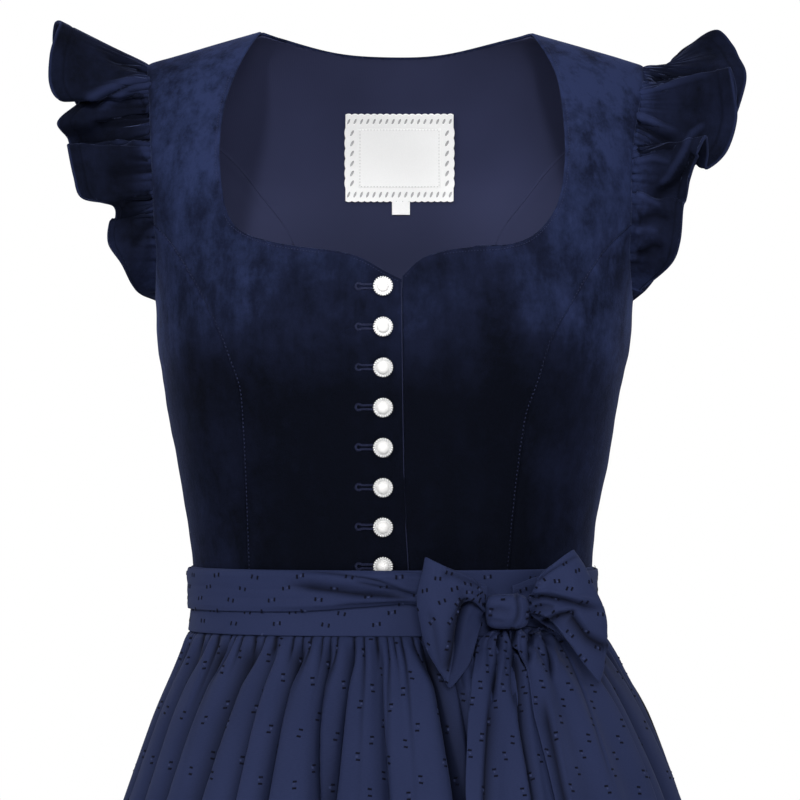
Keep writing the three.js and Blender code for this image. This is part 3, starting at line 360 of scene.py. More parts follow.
def velvet_material():
    """Cotton velvet: a dark navy pile, lighter in patches brushed the other way, with painted light on the
    chest, shoulders and flanks and painted shade and highlights in the folds.
    """
    n = Nodes("navy_velvet")
    tone = VELVET_TONES
    x, _, z = n.add("ShaderNodeSeparateXYZ", {0: n.place}).outputs
    warp = n.add("ShaderNodeMapping", {"Vector": n.place, "Scale": (1, 1, 0.45)}).outputs[0]
    brushed = n.noise(warp, 38, 5, 0.68)
    crushed = n.noise(n.place, 130, 5, 0.75)
    pile = n.noise(n.place, 1700, 2, 0.6)
    wander = n.ramp(n.noise(n.place, 9, 2, 0.5), 0.3, 0.7, -0.022, 0.022)
    height = n.math("ADD", z, wander)
    outside = n.math("ADD", n.math("ABSOLUTE", x), wander)
    # Painted light: the chest, the shoulders and the flanks are made lighter by height and side, where the
    # light falls on them. The ruffles and the outer part of the wearer's right strap get less of it, and the
    # pile's brushed patches are laid over it.
    chest = n.ramp(height, -0.225, -0.165, 0, 0.34)
    shoulder = n.ramp(height, -0.150, -0.060, 0, 0.52)
    flank = n.ramp(outside, 0.080, 0.128, 0, 0.36)
    standing = n.ramp(n.math("ABSOLUTE", x), 0.152, 0.166, 1, 0.25)
    shaded = n.ramp(x, -0.150, -0.095, 0.68, 1)
    painted_body_light = n.math("MULTIPLY", n.math("ADD", chest, n.math("MULTIPLY", shoulder, shaded)), standing)
    painted_light = n.math("ADD", painted_body_light, n.math("MULTIPLY", flank, n.ramp(height, -0.10, -0.16)))
    large = n.ramp(brushed, 0.34, 0.68, -0.46, 0.46)
    patches = n.math("ADD", large, n.ramp(crushed, 0.32, 0.70, -0.24, 0.24))
    pile_and_painted_light = n.math("ADD", painted_light, n.math("MULTIPLY", patches, n.math("ADD", painted_light, 0.12)))
    low = n.mix(n.ramp(pile_and_painted_light, 0.0, 0.42), tone["dark"], tone["middle"])
    base = n.mix(n.ramp(pile_and_painted_light, 0.42, 0.95), low, tone["bright"])
    # Painted shade in the hollows and painted highlight on the crests, from the fold attribute.
    fold = n.fold()
    hollow = n.mix(n.ramp(fold, 0.05, 0.9, 0, 0.85), base, tone["hollow"])
    crest = n.mix(n.ramp(fold, -0.2, -1.0, 0, 0.42), hollow, tone["crest"])
    tips = n.mix(0.5, crest, tone["pile"])
    return n.finish({
        "Base Color": n.mix(n.ramp(pile, 0.3, 0.75, 0, 0.35), crest, tips),
        "Roughness": 0.95, "Specular IOR Level": 0.03,
        "Sheen Weight": 0.24, "Sheen Roughness": 0.30, "Sheen Tint": (0.20, 0.25, 0.52, 1),
        "Normal": n.bump(pile, 0.5, 0.00025, n.bump(crushed, 0.5, 0.0009)),
    })


navy_velvet = velvet_material()

NECKLINE = {
    "right": [
        (4.7, -150.5), (-6.4, -144.9), (-19.4, -137.5), (-33.6, -133.2), (-57.2, -130), (-80.9, -125.4),
        (-97.3, -118.4), (-104.6, -106.2), (-108.2, -86.6), (-109.3, -67.4), (-108.4, -50.6),
        (-105, -32.2), (-97.6, -12.8), (-85.4, shoulder_height(85.4)),
    ],
    "left": [
        (5.1, -148.5), (15.2, -138.7), (28.2, -133.2), (45.5, -130.7), (69.2, -128.7), (86.8, -122.1),
        (99.3, -107.5), (104.8, -89.8), (106.9, -67.4), (105.5, -42), (100.9, -16),
        (87.4, shoulder_height(87.4)),
    ],
}
placket_x = smooth_table([(-352, 10), (-330, 9.1), (-285, 6.6), (-204, 5.4), (-150, 4.7)])
ARMHOLE_JOIN_Z = -114
front_princess = {
    "right": smooth_table([
        (-352, -91), (-322, -92.1), (-222, -96.2), (-199, -103.2), (-181, -110.1), (-166, -117.2),
        (-152, -124.9), (-139, -132.7), (-125, -142.4), (ARMHOLE_JOIN_Z, -152.2),
    ]),
    "left": smooth_table([
        (-352, 70), (-333, 71.5), (-237, 82.2), (-213, 90.2), (-191, 96.5), (-179, 102.2),
        (-159, 114.3), (-145, 122.7), (-131, 132.6), (ARMHOLE_JOIN_Z, 149.4),
    ]),
}
armhole_front = {
    "right": smooth_table([
        (ARMHOLE_JOIN_Z, -152.2), (-75, -153.9), (-44, -155.9), (shoulder_height(158.4), -158.4),
    ]),
    "left": smooth_table([
        (ARMHOLE_JOIN_Z, 149.4), (-75, 150.8), (-56, 152.4), (-29, 157.8), (shoulder_height(160.4), 160.4),
    ]),
}
UNDERARM_Z = -162
UNDERARM_X = 152
SIGN = {"right": -1, "left": 1}
SHOULDER_OUT = {"right": -158.4, "left": 160.4}
NECK_OUT = {"right": -85.4, "left": 87.4}


def underarm_spots(side, join_x, join_z, face, steps=60):
    """The armhole below a princess seam, down to the underarm."""
    sign = SIGN[side]
    start = spot(join_x, join_z, face)
    full = 90.0 * sign + (360 if start[0] > 180 and sign < 0 else 0)
    turn = np.linspace(0, math.pi / 2, steps + 1)
    theta = full + (start[0] - full) * np.cos(turn)
    way = start[1] + (way_down(sign * UNDERARM_X, UNDERARM_Z) - start[1]) * np.sin(turn)
    return np.stack([theta, way], axis=1)


def level_spots(from_theta, to_theta, z, steps=60):
    theta = np.linspace(from_theta, to_theta, steps + 1)
    x, _ = ring_point(theta, body_ring(np.full_like(theta, z)))
    return np.stack([theta, way_down(x, z)], axis=1)


def side_seam_spots(theta, steps=40):
    z = np.linspace(WAIST_Z, UNDERARM_Z, steps + 1)
    theta = np.full_like(z, theta)
    x, _ = ring_point(theta, body_ring(z))
    return np.stack([theta, way_down(x, z)], axis=1)


def shoulder_spots(from_x, to_x, face, steps=24):
    x = np.linspace(from_x, to_x, steps + 1)
    spots = spot(x, shoulder_height(x), face)
    spots[:, 1] = SHOULDER_SEAM_WAY
    return spots


def with_corners(line, start, end):
    line = line.copy()
    line[0], line[-1] = start, end
    return line


def sewn_relief(points, seams, pucker=0.35):
    """How far a panel sinks into the seams beside it, with the small puckers of the stitching."""
    left, right, bottom, _ = edge_distances(points)
    waves = np.sin(bottom / 3.1 + 1.7 * np.sin(bottom / 23))
    lift = np.zeros(points.shape[:2])
    for edge in seams:
        near = left if edge == "left" else right
        lift -= 0.75 * np.exp(-((near / 1.5) ** 2))
        lift += pucker * waves * (near / 4) * np.exp(-near / 4)
    return lift


def soft_waves(points, size=0.5):
    """The slight unevenness of cloth that hangs by itself."""
    x, y, z = points[..., 0], points[..., 1], points[..., 2]
    waves = np.sin(x / 17 + z / 29 + 1.3) * np.sin(z / 21 - x / 41 + 0.4)
    waves = waves + 0.6 * np.sin(x / 9.5 - z / 33 + 2.0) * np.sin(z / 13 + y / 19)
    return size * waves


def finish_sheet(piece, node, material):
    """What every cloth piece has: its finish, the body it rides on and the solid it stands for, which is
    hidden.
    """
    piece.data.materials.append(material)
    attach(piece, "root")
    if node:
        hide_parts(node)


def body_cloth(name, spots, thickness, lift=0.0, seams=(), waves=0.5):
    points, normals = body_point(spots), body_normal(spots)
    relief = sewn_relief(points, seams) + soft_waves(points, waves)
    points = points + normals * (relief + lift)[..., None]
    return cloth_object(name, points, normals, thickness, cloth_uv(points))


def pillows(name, centre, along, out, long, wide, tall, foot, materials, slots=None):
    """Small raised stitches or tufts, one at each centre: half length, half width, top and foot height."""
    along = unit(along)
    up = unit(np.cross(out, along))
    vertices = []
    for scale, height in ((1.0, foot), (0.72, tall)):
        for a, b in ((-1, -0.7), (0.8, -1), (1, 0.7), (-0.8, 1)):
            vertices.append(centre + scale * (a * long * along + b * wide * up) + height * out)
    vertices = np.stack(vertices, axis=1).reshape(-1, 3) * MM
    block = np.array([(3, 2, 1, 0), (4, 5, 6, 7), (0, 1, 5, 4), (1, 2, 6, 5), (2, 3, 7, 6), (3, 0, 4, 7)])
    faces = (block[None] + 8 * np.arange(len(centre))[:, None, None]).reshape(-1, 4)
    mesh = bpy.data.meshes.new(name)
    mesh.from_pydata(vertices.tolist(), [], faces.tolist())
    for material in materials:
        mesh.materials.append(material)
    if slots is not None:
        mesh.polygons.foreach_set("material_index", np.repeat(slots.astype(np.int32), len(block)))
    mesh.update()
    small = new_piece(name, mesh)
    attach(small, "root")
    return small


def yarn_material(name, dark, pale, fineness=1600, roughness=0.7, gloss=0.15, relief=(0.5, 0.0002)):
    n = Nodes(name)
    strand = n.noise(n.place, fineness, 2, 0.6)
    return n.finish({
        "Base Color": n.mix(n.ramp(strand, 0.3, 0.7), dark, pale), "Roughness": roughness,
        "Specular IOR Level": gloss, "Normal": n.bump(strand, *relief),
    })


navy_thread = yarn_material("navy_thread", (0.010, 0.013, 0.036, 1), (0.024, 0.030, 0.078, 1))
THREAD_TOP = VELVET / 2 + 0.25
THREAD_FOOT = VELVET / 2 - 0.3


def stitch_line(name, spots, pitch, long, wide):
    """A row of stitches on the velvet along a line of spots."""
    length = np.linalg.norm(np.diff(body_point(spots), axis=0), axis=1).sum()
    spots = spread(spots, max(4, int(length / pitch)))
    centre, out = body_point(spots), body_normal(spots)
    along = np.gradient(centre, axis=0)
    stitches = pillows(name, centre, along, out, long, wide, THREAD_TOP, THREAD_FOOT, [navy_thread])


# Pitch, half length and half width of the stitches, and how far each row lies in from its edge.
STITCH = {"opening": (1.5, 0.95, 0.24), "neckline": (1.9, 0.5, 0.22), "princess": (2.6, 0.62, 0.24)}
STITCH_IN = {"opening": 0.5, "neckline": 2.3, "princess": 1.5}
OPENING_STITCHES = (WAIST_Z + 20, -153)
FRONT_GRID = {"opening": 56, "neckline": 64, "princess": 72, "armhole": 48, "across": 48, "side": 36}
NECK_TURN = 5

edge_spots = seam_spots(lambda z: placket_x(z) - STITCH_IN["opening"], *OPENING_STITCHES, "front")
stitch_line("opening_edge", edge_spots, *STITCH["opening"])
for side, sign in SIGN.items():
    inner_x = placket_x if side == "right" else (lambda z: placket_x(z) + SEAM_GAP)
    inner = joined(
        spread(seam_spots(inner_x, WAIST_Z, NECKLINE[side][0][1], "front"), FRONT_GRID["opening"]),
        spread(line_spots(NECKLINE[side], "front"), FRONT_GRID["neckline"]),
    )
    princess = seam_spots(front_princess[side], WAIST_Z, ARMHOLE_JOIN_Z, "front")
    princess = spread(princess, FRONT_GRID["princess"])
    armhole = seam_spots(armhole_front[side], ARMHOLE_JOIN_Z, shoulder_height(SHOULDER_OUT[side]), "front")
    outer = shifted(joined(princess, spread(armhole, FRONT_GRID["armhole"])), sign * SEAM_LAP / 2)
    inner[-1, 1] = outer[-1, 1] = SHOULDER_SEAM_WAY
    bottom = spread(level_spots(inner[0, 0], outer[0, 0], WAIST_Z), FRONT_GRID["across"])
    shoulder = spread(shoulder_spots(NECK_OUT[side], SHOULDER_OUT[side], "front"), FRONT_GRID["across"])
    spots = net(bottom, with_corners(shoulder, inner[-1], outer[-1]), inner, outer)
    panel = body_cloth(f"velvet_front_centre_{side}", spots, VELVET, seams=("right",))
    beside_neck = [
        (x + sign * STITCH_IN["neckline"], z) if k > NECK_TURN else (x, z - STITCH_IN["neckline"])
        for k, (x, z) in enumerate(NECKLINE[side])
    ]
    stitch_line(f"neckline_stitches_{side}", line_spots(beside_neck, "front")[3:-2], *STITCH["neckline"])
    finish_sheet(panel, f"front_centre_{side}", navy_velvet)

    inner = shifted(princess, -sign * SEAM_LAP / 2)
    outer = shifted(spread(side_seam_spots(90 * sign), FRONT_GRID["princess"]), sign * SEAM_LAP / 2)
    underarm = underarm_spots(side, front_princess[side](ARMHOLE_JOIN_Z)[0], ARMHOLE_JOIN_Z, "front")
    underarm = with_corners(spread(underarm, FRONT_GRID["side"]), inner[-1], outer[-1])
    bottom = spread(level_spots(inner[0, 0], outer[0, 0], WAIST_Z), FRONT_GRID["side"])
    beside = shifted(inner, -sign * STITCH_IN["princess"])
    stitch_line(f"princess_stitches_{side}", beside[:-2], *STITCH["princess"])
    spots = net(bottom, underarm, inner, outer)
    panel = body_cloth(f"velvet_front_side_{side}", spots, VELVET, seams=("left", "right"))
    finish_sheet(panel, f"front_side_{side}", navy_velvet)

# ---------------------------------------------------------------- button stand
# A double strip of the same velvet, sewn under the edge of the opening, that carries the buttons.
# It lies just behind the two front panels.
STAND = {"past": 12, "under": 16, "top": -156, "below": 2.8, "rows": 60, "columns": 13}
edges = [
    spread(seam_spots(lambda z, o=offset: placket_x(z) + o, WAIST_Z, STAND["top"], "front"), STAND["rows"])
    for offset in (-STAND["under"], STAND["past"])
]
shares = np.linspace(0, 1, STAND["columns"])[None, :, None]
spots = edges[0][:, None] * (1 - shares) + edges[1][:, None] * shares
stand = body_cloth("velvet_button_stand", spots, VELVET, -STAND["below"], waves=0.0)
finish_sheet(stand, "button_stand", navy_velvet)

# ---------------------------------------------------------------- bodice back and lining
# One middle panel, with the two straps, and two side panels of velvet, each backed by a plain navy
# satin-weave lining cut from the same pattern and caught down at the neck and the seams.
LINING = 1.0
LINING_LIFT = -(VELVET / 2 + 0.9 + LINING / 2)
LINING_WAVES = 0.35
BACK_JOIN_Z = -42
BACK_JOIN_X = 152
BACK_NECK = [(58, 2.8), (30, -2.4), (1.5, -3.8), (-28, -2.4), (-56, 2.8)]
NECK_CORNER_DROP = 0.1
BACK_GRID = {"princess": 84, "armhole": 28, "strap": 18, "neck": 48, "side_up": 72, "side_across": 40}
NET_ROUNDS = 1500
back_princess = smooth_table([
    (WAIST_Z, 47), (-200, 55), (-123, 67), (-92, 88), (-64, 112), (BACK_JOIN_Z, BACK_JOIN_X),
])


def lining_material():
    n = Nodes("navy_lining")
    twill = {"Vector": n.place, "Scale": 330.0, "Distortion": 1.2, "Detail": 1.0}
    fine = n.add("ShaderNodeTexWave", twill, bands_direction="DIAGONAL").outputs["Fac"]
    base = n.clouds((0.0225, 0.0265, 0.0630, 1), (0.0285, 0.0330, 0.0790, 1), 11)
    # Painted shade: the lining is darker further down inside the bodice, where less light reaches.
    _, _, z = n.add("ShaderNodeSeparateXYZ", {0: n.place}).outputs
    return n.finish({
        "Base Color": n.mix(n.ramp(z, -0.085, -0.135, 0, 0.62), base, (0.0115, 0.0145, 0.0370, 1)),
        "Roughness": 0.75, "Specular IOR Level": 0.1,
        "Sheen Weight": 0.04, "Sheen Tint": (0.5, 0.55, 1.0, 1), "Normal": n.bump(fine, 0.12, 0.00012),
    })


navy_lining = lining_material()


def back_princess_spots(side, count):
    sign = SIGN[side]
    return spread(seam_spots(lambda z: sign * back_princess(z), WAIST_Z, BACK_JOIN_Z, "back"), count)


def back_armhole(side):
    """The armhole's edge behind, from the princess seam up to the shoulder, as x at any height."""
    top_z = shoulder_height(SHOULDER_OUT[side])
    return smooth_table([(BACK_JOIN_Z, SIGN[side] * BACK_JOIN_X), (top_z, SHOULDER_OUT[side])]), top_z


def back_centre_net():
    """The middle panel's spots, evened out so that none of its cells is squeezed at the neck's corners."""
    edges, corners, straps = {}, {}, {}
    for side, sign in SIGN.items():
        x_at, top_z = back_armhole(side)
        edge = joined(
            back_princess_spots(side, BACK_GRID["princess"]),
            spread(seam_spots(x_at, BACK_JOIN_Z, top_z, "back"), BACK_GRID["armhole"]),
        )
        edge[-1, 1] = SHOULDER_SEAM_WAY
        edges[side] = shifted(edge, -sign * SEAM_LAP / 2)
        corners[side] = (NECK_OUT[side], shoulder_height(NECK_OUT[side]) - NECK_CORNER_DROP)
        ends = (SHOULDER_OUT[side], NECK_OUT[side])[:: sign]
        straps[side] = spread(shoulder_spots(*ends, "back"), BACK_GRID["strap"])
    neck = line_spots([corners["left"], *BACK_NECK, corners["right"]], "back")
    top = joined(straps["left"], spread(neck, BACK_GRID["neck"]), straps["right"])
    top = with_corners(top, edges["left"][-1], edges["right"][-1])
    bottom = spread(level_spots(edges["left"][0, 0], edges["right"][0, 0], WAIST_Z), len(top) - 1)
    spots = net(bottom, top, edges["left"], edges["right"])
    for _ in range(NET_ROUNDS):
        spots[1:-1, 1:-1] = (spots[:-2, 1:-1] + spots[2:, 1:-1] + spots[1:-1, :-2] + spots[1:-1, 2:]) / 4
    return spots


def back_side_net(side):
    sign = SIGN[side]
    princess = shifted(back_princess_spots(side, BACK_GRID["side_up"]), sign * SEAM_LAP / 2)
    seam = spread(side_seam_spots(90 if sign > 0 else 270), BACK_GRID["side_up"])
    seam = shifted(seam, -sign * SEAM_LAP / 2)
    underarm = underarm_spots(side, sign * BACK_JOIN_X, BACK_JOIN_Z, "back")
    underarm = with_corners(spread(underarm, BACK_GRID["side_across"]), princess[-1], seam[-1])
    bottom = spread(level_spots(princess[0, 0], seam[0, 0], WAIST_Z), BACK_GRID["side_across"])
    return net(bottom, underarm, princess, seam)


back_panels = {"back_centre": (back_centre_net(), (0.32, 0.38), 0.066)}
for side in SIGN:
    back_panels[f"back_side_{side}"] = (back_side_net(side), (0.15, 0.32), 0.036)
for node, (spots, flat, area) in back_panels.items():
    panel = body_cloth(f"velvet_{node}", spots, VELVET, 0.0, ("left", "right"))
    finish_sheet(panel, node, navy_velvet)
    lining = body_cloth(f"smooth_lining_{node}", spots, LINING, LINING_LIFT, ("left", "right"), LINING_WAVES)
    finish_sheet(lining, f"lining_{node}", navy_lining)

# ---------------------------------------------------------------- skirt
# Dark navy cotton, gathered into the waist seam in many soft folds and open at the hem.
# The front and the back breadth meet at the side seams.
SKIRT_CLOTH = 1.4
SKIRT_HEM_Z = -1010
skirt_ring = smooth_table([
    (WAIST_Z, 125, 90, 78, -1.0), (-364, 126.6, 92, 80.5, -0.5), (-375, 129, 95, 84, 1.5),
    (-390, 134.5, 100, 91, 4), (-417, 144, 108, 103, 6), (-481, 163, 124, 128, 9),
    (-600, 196, 150, 163, 9), (-800, 246, 190, 206, 7), (SKIRT_HEM_Z, 294, 226, 243, 5),
])
skirt_rise = smooth_table([
    (WAIST_Z, 0.5), (-375, 1.4), (-420, 5), (-481, 8), (-700, 16), (SKIRT_HEM_Z, 24),
])
APRON_FROM, APRON_TO = -100, 82
SKIRT_FOLD = {"pitch": 15, "under_apron": 0.25, "edge": 10, "uneven": 0.9, "turns": 3, "start": 40}
SKIRT_SIDE = 8
SKIRT_LAP = 0.02


def ease(low, high, value):
    t = np.clip((value - low) / (high - low), 0, 1)
    return t * t * (3 - 2 * t)


def skirt_fold(theta, z):
    turn = np.where(theta > 180, theta - 360, theta)
    edge = SKIRT_FOLD["edge"]
    bare = ease(APRON_TO, APRON_TO + edge, turn) + ease(-APRON_FROM, -APRON_FROM + edge, -turn)
    share = SKIRT_FOLD["under_apron"] + (1 - SKIRT_FOLD["under_apron"]) * bare
    uneven = SKIRT_FOLD["uneven"] * np.sin(np.radians(SKIRT_FOLD["turns"] * theta + SKIRT_FOLD["start"]))
    phase = 2 * math.pi * theta / SKIRT_FOLD["pitch"] + uneven
    rise = skirt_rise(z)[0]
    folds = rise * share * (0.5 - 0.5 * np.cos(phase))
    gathers = 0.8 * bare * np.sin(theta * 1.9 + 0.8 * np.sin(theta * 0.31)) * np.exp((z - WAIST_Z) / 60)
    side = SKIRT_SIDE * np.exp(-(((turn - 90) / 6) ** 2)) * ease(-376, -430, z)
    return folds + side + gathers * ease(WAIST_Z, WAIST_Z - 25, z)


def skirt_point(theta, z, out=0.0):
    theta, z = np.broadcast_arrays(np.asarray(theta, float), np.asarray(z, float))
    x, y = ring_point(theta, skirt_ring(z), out)
    return np.stack([x, y, z], axis=-1)


def plain_cotton_material():
    n = Nodes("dark_skirt_cotton")
    weave = n.noise(n.place, 1300, 2, 0.6)
    return n.finish({
        "Base Color": n.clouds((0.0022, 0.0028, 0.0060, 1), (0.0040, 0.0052, 0.0110, 1), 9),
        "Roughness": 0.85, "Specular IOR Level": 0.05, "Sheen Weight": 0.03,
        "Normal": n.bump(weave, 0.3, 0.0002),
    })


dark_cotton = plain_cotton_material()
SKIRT_COLUMNS = 211
skirt_heights = np.r_[
    np.linspace(SKIRT_HEM_Z, -500, 34), np.linspace(-485, -395, 16),
    np.linspace(-390, WAIST_Z - SEAM_GAP, 12),
]
for node, start, end in (("skirt_front", -90, 90), ("skirt_back", 90, 270)):
    theta = np.linspace(start - SKIRT_LAP, end + SKIRT_LAP, SKIRT_COLUMNS)[None, :]
    z = skirt_heights[:, None]
    points = skirt_point(theta, z, skirt_fold(theta, z))
    breadth = cloth_object(f"gathered_{node}", points, grid_normals(points), SKIRT_CLOTH, cloth_uv(points))
    finish_sheet(breadth, node, dark_cotton)

# ---------------------------------------------------------------- apron
# A light navy cloth with small woven dots, gathered into a band. Its fullness falls in soft folds
# that start as fine gathers under the band, and it covers the front of the skirt.
APRON_CLOTH = 1.2
APRON_HEM_Z = -980
BAND_BOTTOM_Z = -372
SWAY_Z = -560
# Angle under the band, sway, half width and depth of each crease between two folds.
CREASES = [
    (-93, -3, 2.6, 0.7), (-85, -3, 2.4, 0.8), (-76, -2, 2.4, 0.75), (-67, -1, 2.2, 0.8),
    (-57, -3, 2.4, 0.9), (-46.5, -3, 2.6, 0.9), (-40, 0, 1.8, 0.5), (-31.5, 0, 2.2, 0.9),
    (-22.5, 4, 1.9, 0.7), (-15, -2, 1.8, 0.6), (-6, 3, 2.2, 0.35), (8, 2, 2.8, 1),
    (15.5, -1, 1.8, 0.6), (25, 0, 2.4, 0.8), (35, 0, 2.4, 0.8), (45, 0, 2.4, 0.8),
    (54, 0, 2.4, 0.8), (63, 1, 2.2, 0.8), (71, 2, 2.2, 0.8),
]
apron_rise = smooth_table([
    (BAND_BOTTOM_Z, 0.6), (-383, 3.2), (-400, 5.8), (-430, 10.5), (-481, 15), (-700, 21), (APRON_HEM_Z, 24),
])
APRON_CLEAR = 1.4
GATHER_PITCH = 3.6
OVERHANG = 3.4


def apron_floor(z):
    return (SKIRT_CLOTH + APRON_CLOTH) / 2 + APRON_CLEAR + skirt_rise(z)[0] * SKIRT_FOLD["under_apron"]


def apron_lift(theta, z):
    """Height of the folds' crests, which stand out most in front."""
    return apron_rise(z)[0] * (1 + 0.9 * np.cos(np.radians(theta)) ** 2 * ease(-900, -560, z))


def apron_gathers(theta, z):
    """The fine gathers under the band, which run out into the folds below: height, and deepness for the
    painted shade between them.
    """
    phase = 2 * math.pi * theta / GATHER_PITCH + 1.9 * np.sin(theta / 4.3) + 1.1 * np.sin(theta / 1.7 + 1)
    ridge = (0.5 + 0.5 * np.sin(phase)) ** 0.7
    fall = 16 + 14 * np.sin(theta * 0.9 + 2 * np.sin(theta / 5.1))
    fade = np.exp(-np.maximum(BAND_BOTTOM_Z - 8 - z, 0) / (fall + 6))
    start = ease(BAND_BOTTOM_Z, BAND_BOTTOM_Z - 7, z)
    return (0.5 + 3.0 * start) * fade * (ridge - 0.55), fade * np.clip(1.15 - 2.1 * ridge, 0, 1)


def apron_out(theta, z):
    """How far the cloth stands out, how far each fold's steep edge hangs over, and how deep it lies, for
    painted shade.
    """
    sunk = np.zeros(np.broadcast(theta, z).shape)
    over = np.zeros_like(sunk)
    hang = OVERHANG * ease(BAND_BOTTOM_Z - 4, BAND_BOTTOM_Z - 34, z)
    for at, sway, wide, deep in CREASES:
        outwards = math.copysign(1, at)
        off = theta - (at + sway * (1 - ease(SWAY_Z, BAND_BOTTOM_Z, z)))
        half = np.where(off * outwards > 0, 1.5 * wide, 0.62 * wide)
        sunk = sunk + deep * np.exp(-np.abs(off / half) ** 1.7)
        over = over + outwards * hang * deep * np.exp(-((off * outwards + 0.85 * wide) / (0.62 * wide)) ** 2)
    wander = 0.9 * np.sin(theta / 7.3 + z / 90) * ease(BAND_BOTTOM_Z - 20, -470, z)
    tucked = 1.5 * np.exp(-((BAND_BOTTOM_Z - z) / 1.3) ** 2)
    flat_edge = 1 - 0.65 * ease(APRON_TO - 9, APRON_TO, theta)
    rise = apron_lift(theta, z) * (1 - np.minimum(sunk, 1)) * flat_edge
    gathers, between = apron_gathers(theta, z)
    # Painted shade: how dark each crease is painted.
    deepness = np.clip(1.45 * sunk - 0.12, 0, 1) * ease(BAND_BOTTOM_Z + 1, BAND_BOTTOM_Z - 18, z)
    return apron_floor(z) + rise + gathers + wander * 0.6 - tucked, over, np.maximum(deepness, between)


def dotted_cloth_material():
    """Smooth plain-weave cloth, between matt and silky, in mid navy."""
    n = Nodes("navy_apron_cloth")
    uv = n.add("ShaderNodeUVMap", uv_map="cloth").outputs["UV"]
    stretched = n.add("ShaderNodeMapping", {"Vector": uv, "Scale": (700, 2600, 1)}).outputs[0]
    weave = n.noise(stretched, 1.0, 2.0)
    base = n.clouds((0.0155, 0.0222, 0.0640, 1), (0.0192, 0.0270, 0.0750, 1), 14)
    woven = n.mix(n.ramp(weave, 0.35, 0.65), base, n.mix(0.2, base, (0.034, 0.045, 0.105, 1)))
    return n.finish({
        # Painted shade: the cloth is darkened where the fold attribute says it lies deep in a crease or
        # between gathers.
        "Base Color": n.mix(n.math("MULTIPLY", n.fold(), 0.92), woven, (0.0016, 0.0022, 0.0060, 1)),
        "Roughness": 0.7, "Specular IOR Level": 0.06,
        "Sheen Weight": 0.04, "Sheen Tint": (0.45, 0.55, 1.0, 1), "Normal": n.bump(weave, 0.25, 0.00012),
    })


apron_cloth = dotted_cloth_material()
dot_yarn, dot_fluff = (
    yarn_material(name, dark, pale, fineness=900, roughness=0.8, gloss=0.1, relief=(0.6, 0.0003))
    for name, dark, pale in (
        ("navy_dot_yarn", (0.0012, 0.0016, 0.0060, 1), (0.0040, 0.0055, 0.0180, 1)),
        ("blue_dot_fluff", (0.0180, 0.0250, 0.0700, 1), (0.0380, 0.0500, 0.1200, 1)),
    )
)
DOT_COLUMNS = 7.4
DOT_REPEAT = 31.0
DOT_STEP = 9.7
# Each dot is two dark dashes with a little fluff between: place, half length, half width, height, slot.
DOT_PARTS = [(-2.0, 1.45, 0.75, 0.32, 0), (2.0, 1.45, 0.75, 0.32, 0), (0.2, 0.85, 0.95, 0.12, 1)]


def woven_dots(name, points, normals, u_of_column, v_of_row, turned=False):
    """Small tufts woven on the cloth's outer side, in pairs, one column lower or higher than the next."""
    spans = [sorted((float(line[0]), float(line[-1]))) for line in (u_of_column, v_of_row)]
    (first, last), (low, high) = spans[::-1] if turned else spans
    lattice = []
    for k in range(math.floor(first / DOT_COLUMNS), math.ceil(last / DOT_COLUMNS) + 1):
        for m in range(math.floor(low / DOT_REPEAT) - 2, math.ceil(high / DOT_REPEAT) + 1):
            jitter = math.sin(k * 12.9898 + m * 78.233) * 0.5
            for place, long, wide, tall, slot in DOT_PARTS:
                if slot == 1 and jitter <= -0.3:
                    continue
                across = k * DOT_COLUMNS + jitter + 0.4 * math.sin(9 * m + place)
                down = m * DOT_REPEAT + (k * DOT_STEP) % DOT_REPEAT + (place + (0.6 * jitter if slot else 0))
                lattice.append((across, down, jitter, long, wide, tall, slot))
    lattice = np.array(lattice)
    u, v = (lattice[:, 1], lattice[:, 0]) if turned else (lattice[:, 0], lattice[:, 1])
    columns, rows = np.arange(len(u_of_column)), np.arange(len(v_of_row))
    order_u, order_v = np.argsort(u_of_column), np.argsort(v_of_row)
    i = np.interp(u, u_of_column[order_u], columns[order_u], left=-1, right=-1)
    j = np.interp(v, v_of_row[order_v], rows[order_v], left=-1, right=-1)
    kept = (i > 0.6) & (j > 0.3) & (i < len(columns) - 1.6) & (j < len(rows) - 1.3)
    i, j = i[kept], j[kept]
    jitter, long, wide, tall, slots = lattice[kept, 2:].T[:, :, None]

    def at(grid, jj, ii):
        j0, i0 = jj.astype(int), ii.astype(int)
        f, g = (jj - j0)[:, None], (ii - i0)[:, None]
        return ((1 - f) * ((1 - g) * grid[j0, i0] + g * grid[j0, i0 + 1])
                + f * ((1 - g) * grid[j0 + 1, i0] + g * grid[j0 + 1, i0 + 1]))

    centre, out = at(points, j, i), unit(at(normals, j, i))
    along = unit(at(points, j, i + 0.5) - at(points, j, i - 0.5))
    if turned:
        along = unit(np.cross(out, along))
    up = unit(np.cross(out, along))
    along = unit(along + 0.3 * jitter * up)
    tall, foot = APRON_CLOTH / 2 + tall, APRON_CLOTH / 2 - 0.05
    dots = pillows(name, centre, along, out, long, wide, tall, foot, [dot_yarn, dot_fluff], slots[:, 0])


apron_heights = np.r_[
    np.linspace(APRON_HEM_Z, -500, 28), np.linspace(-490, -410, 17),
    np.linspace(-405, BAND_BOTTOM_Z - SEAM_GAP, 18),
]
theta = np.linspace(APRON_FROM, APRON_TO, 470)[None, :]
z = apron_heights[:, None]
out, over, fold = apron_out(theta, z)
points = skirt_point(theta + over, z, out)
normals = grid_normals(points)
APRON_WIDTH = 450
apron_u = np.linspace(-APRON_WIDTH / 2, APRON_WIDTH / 2, theta.size)
apron_v = apron_heights - BAND_BOTTOM_Z
uv = np.stack(np.broadcast_arrays(apron_u[None, :], apron_v[:, None]), axis=-1)
apron = cloth_object("gathered_apron", points, normals, APRON_CLOTH, uv, fold)
finish_sheet(apron, "apron_panel", apron_cloth)
woven_dots("apron_dots", points, normals, apron_u, apron_v)

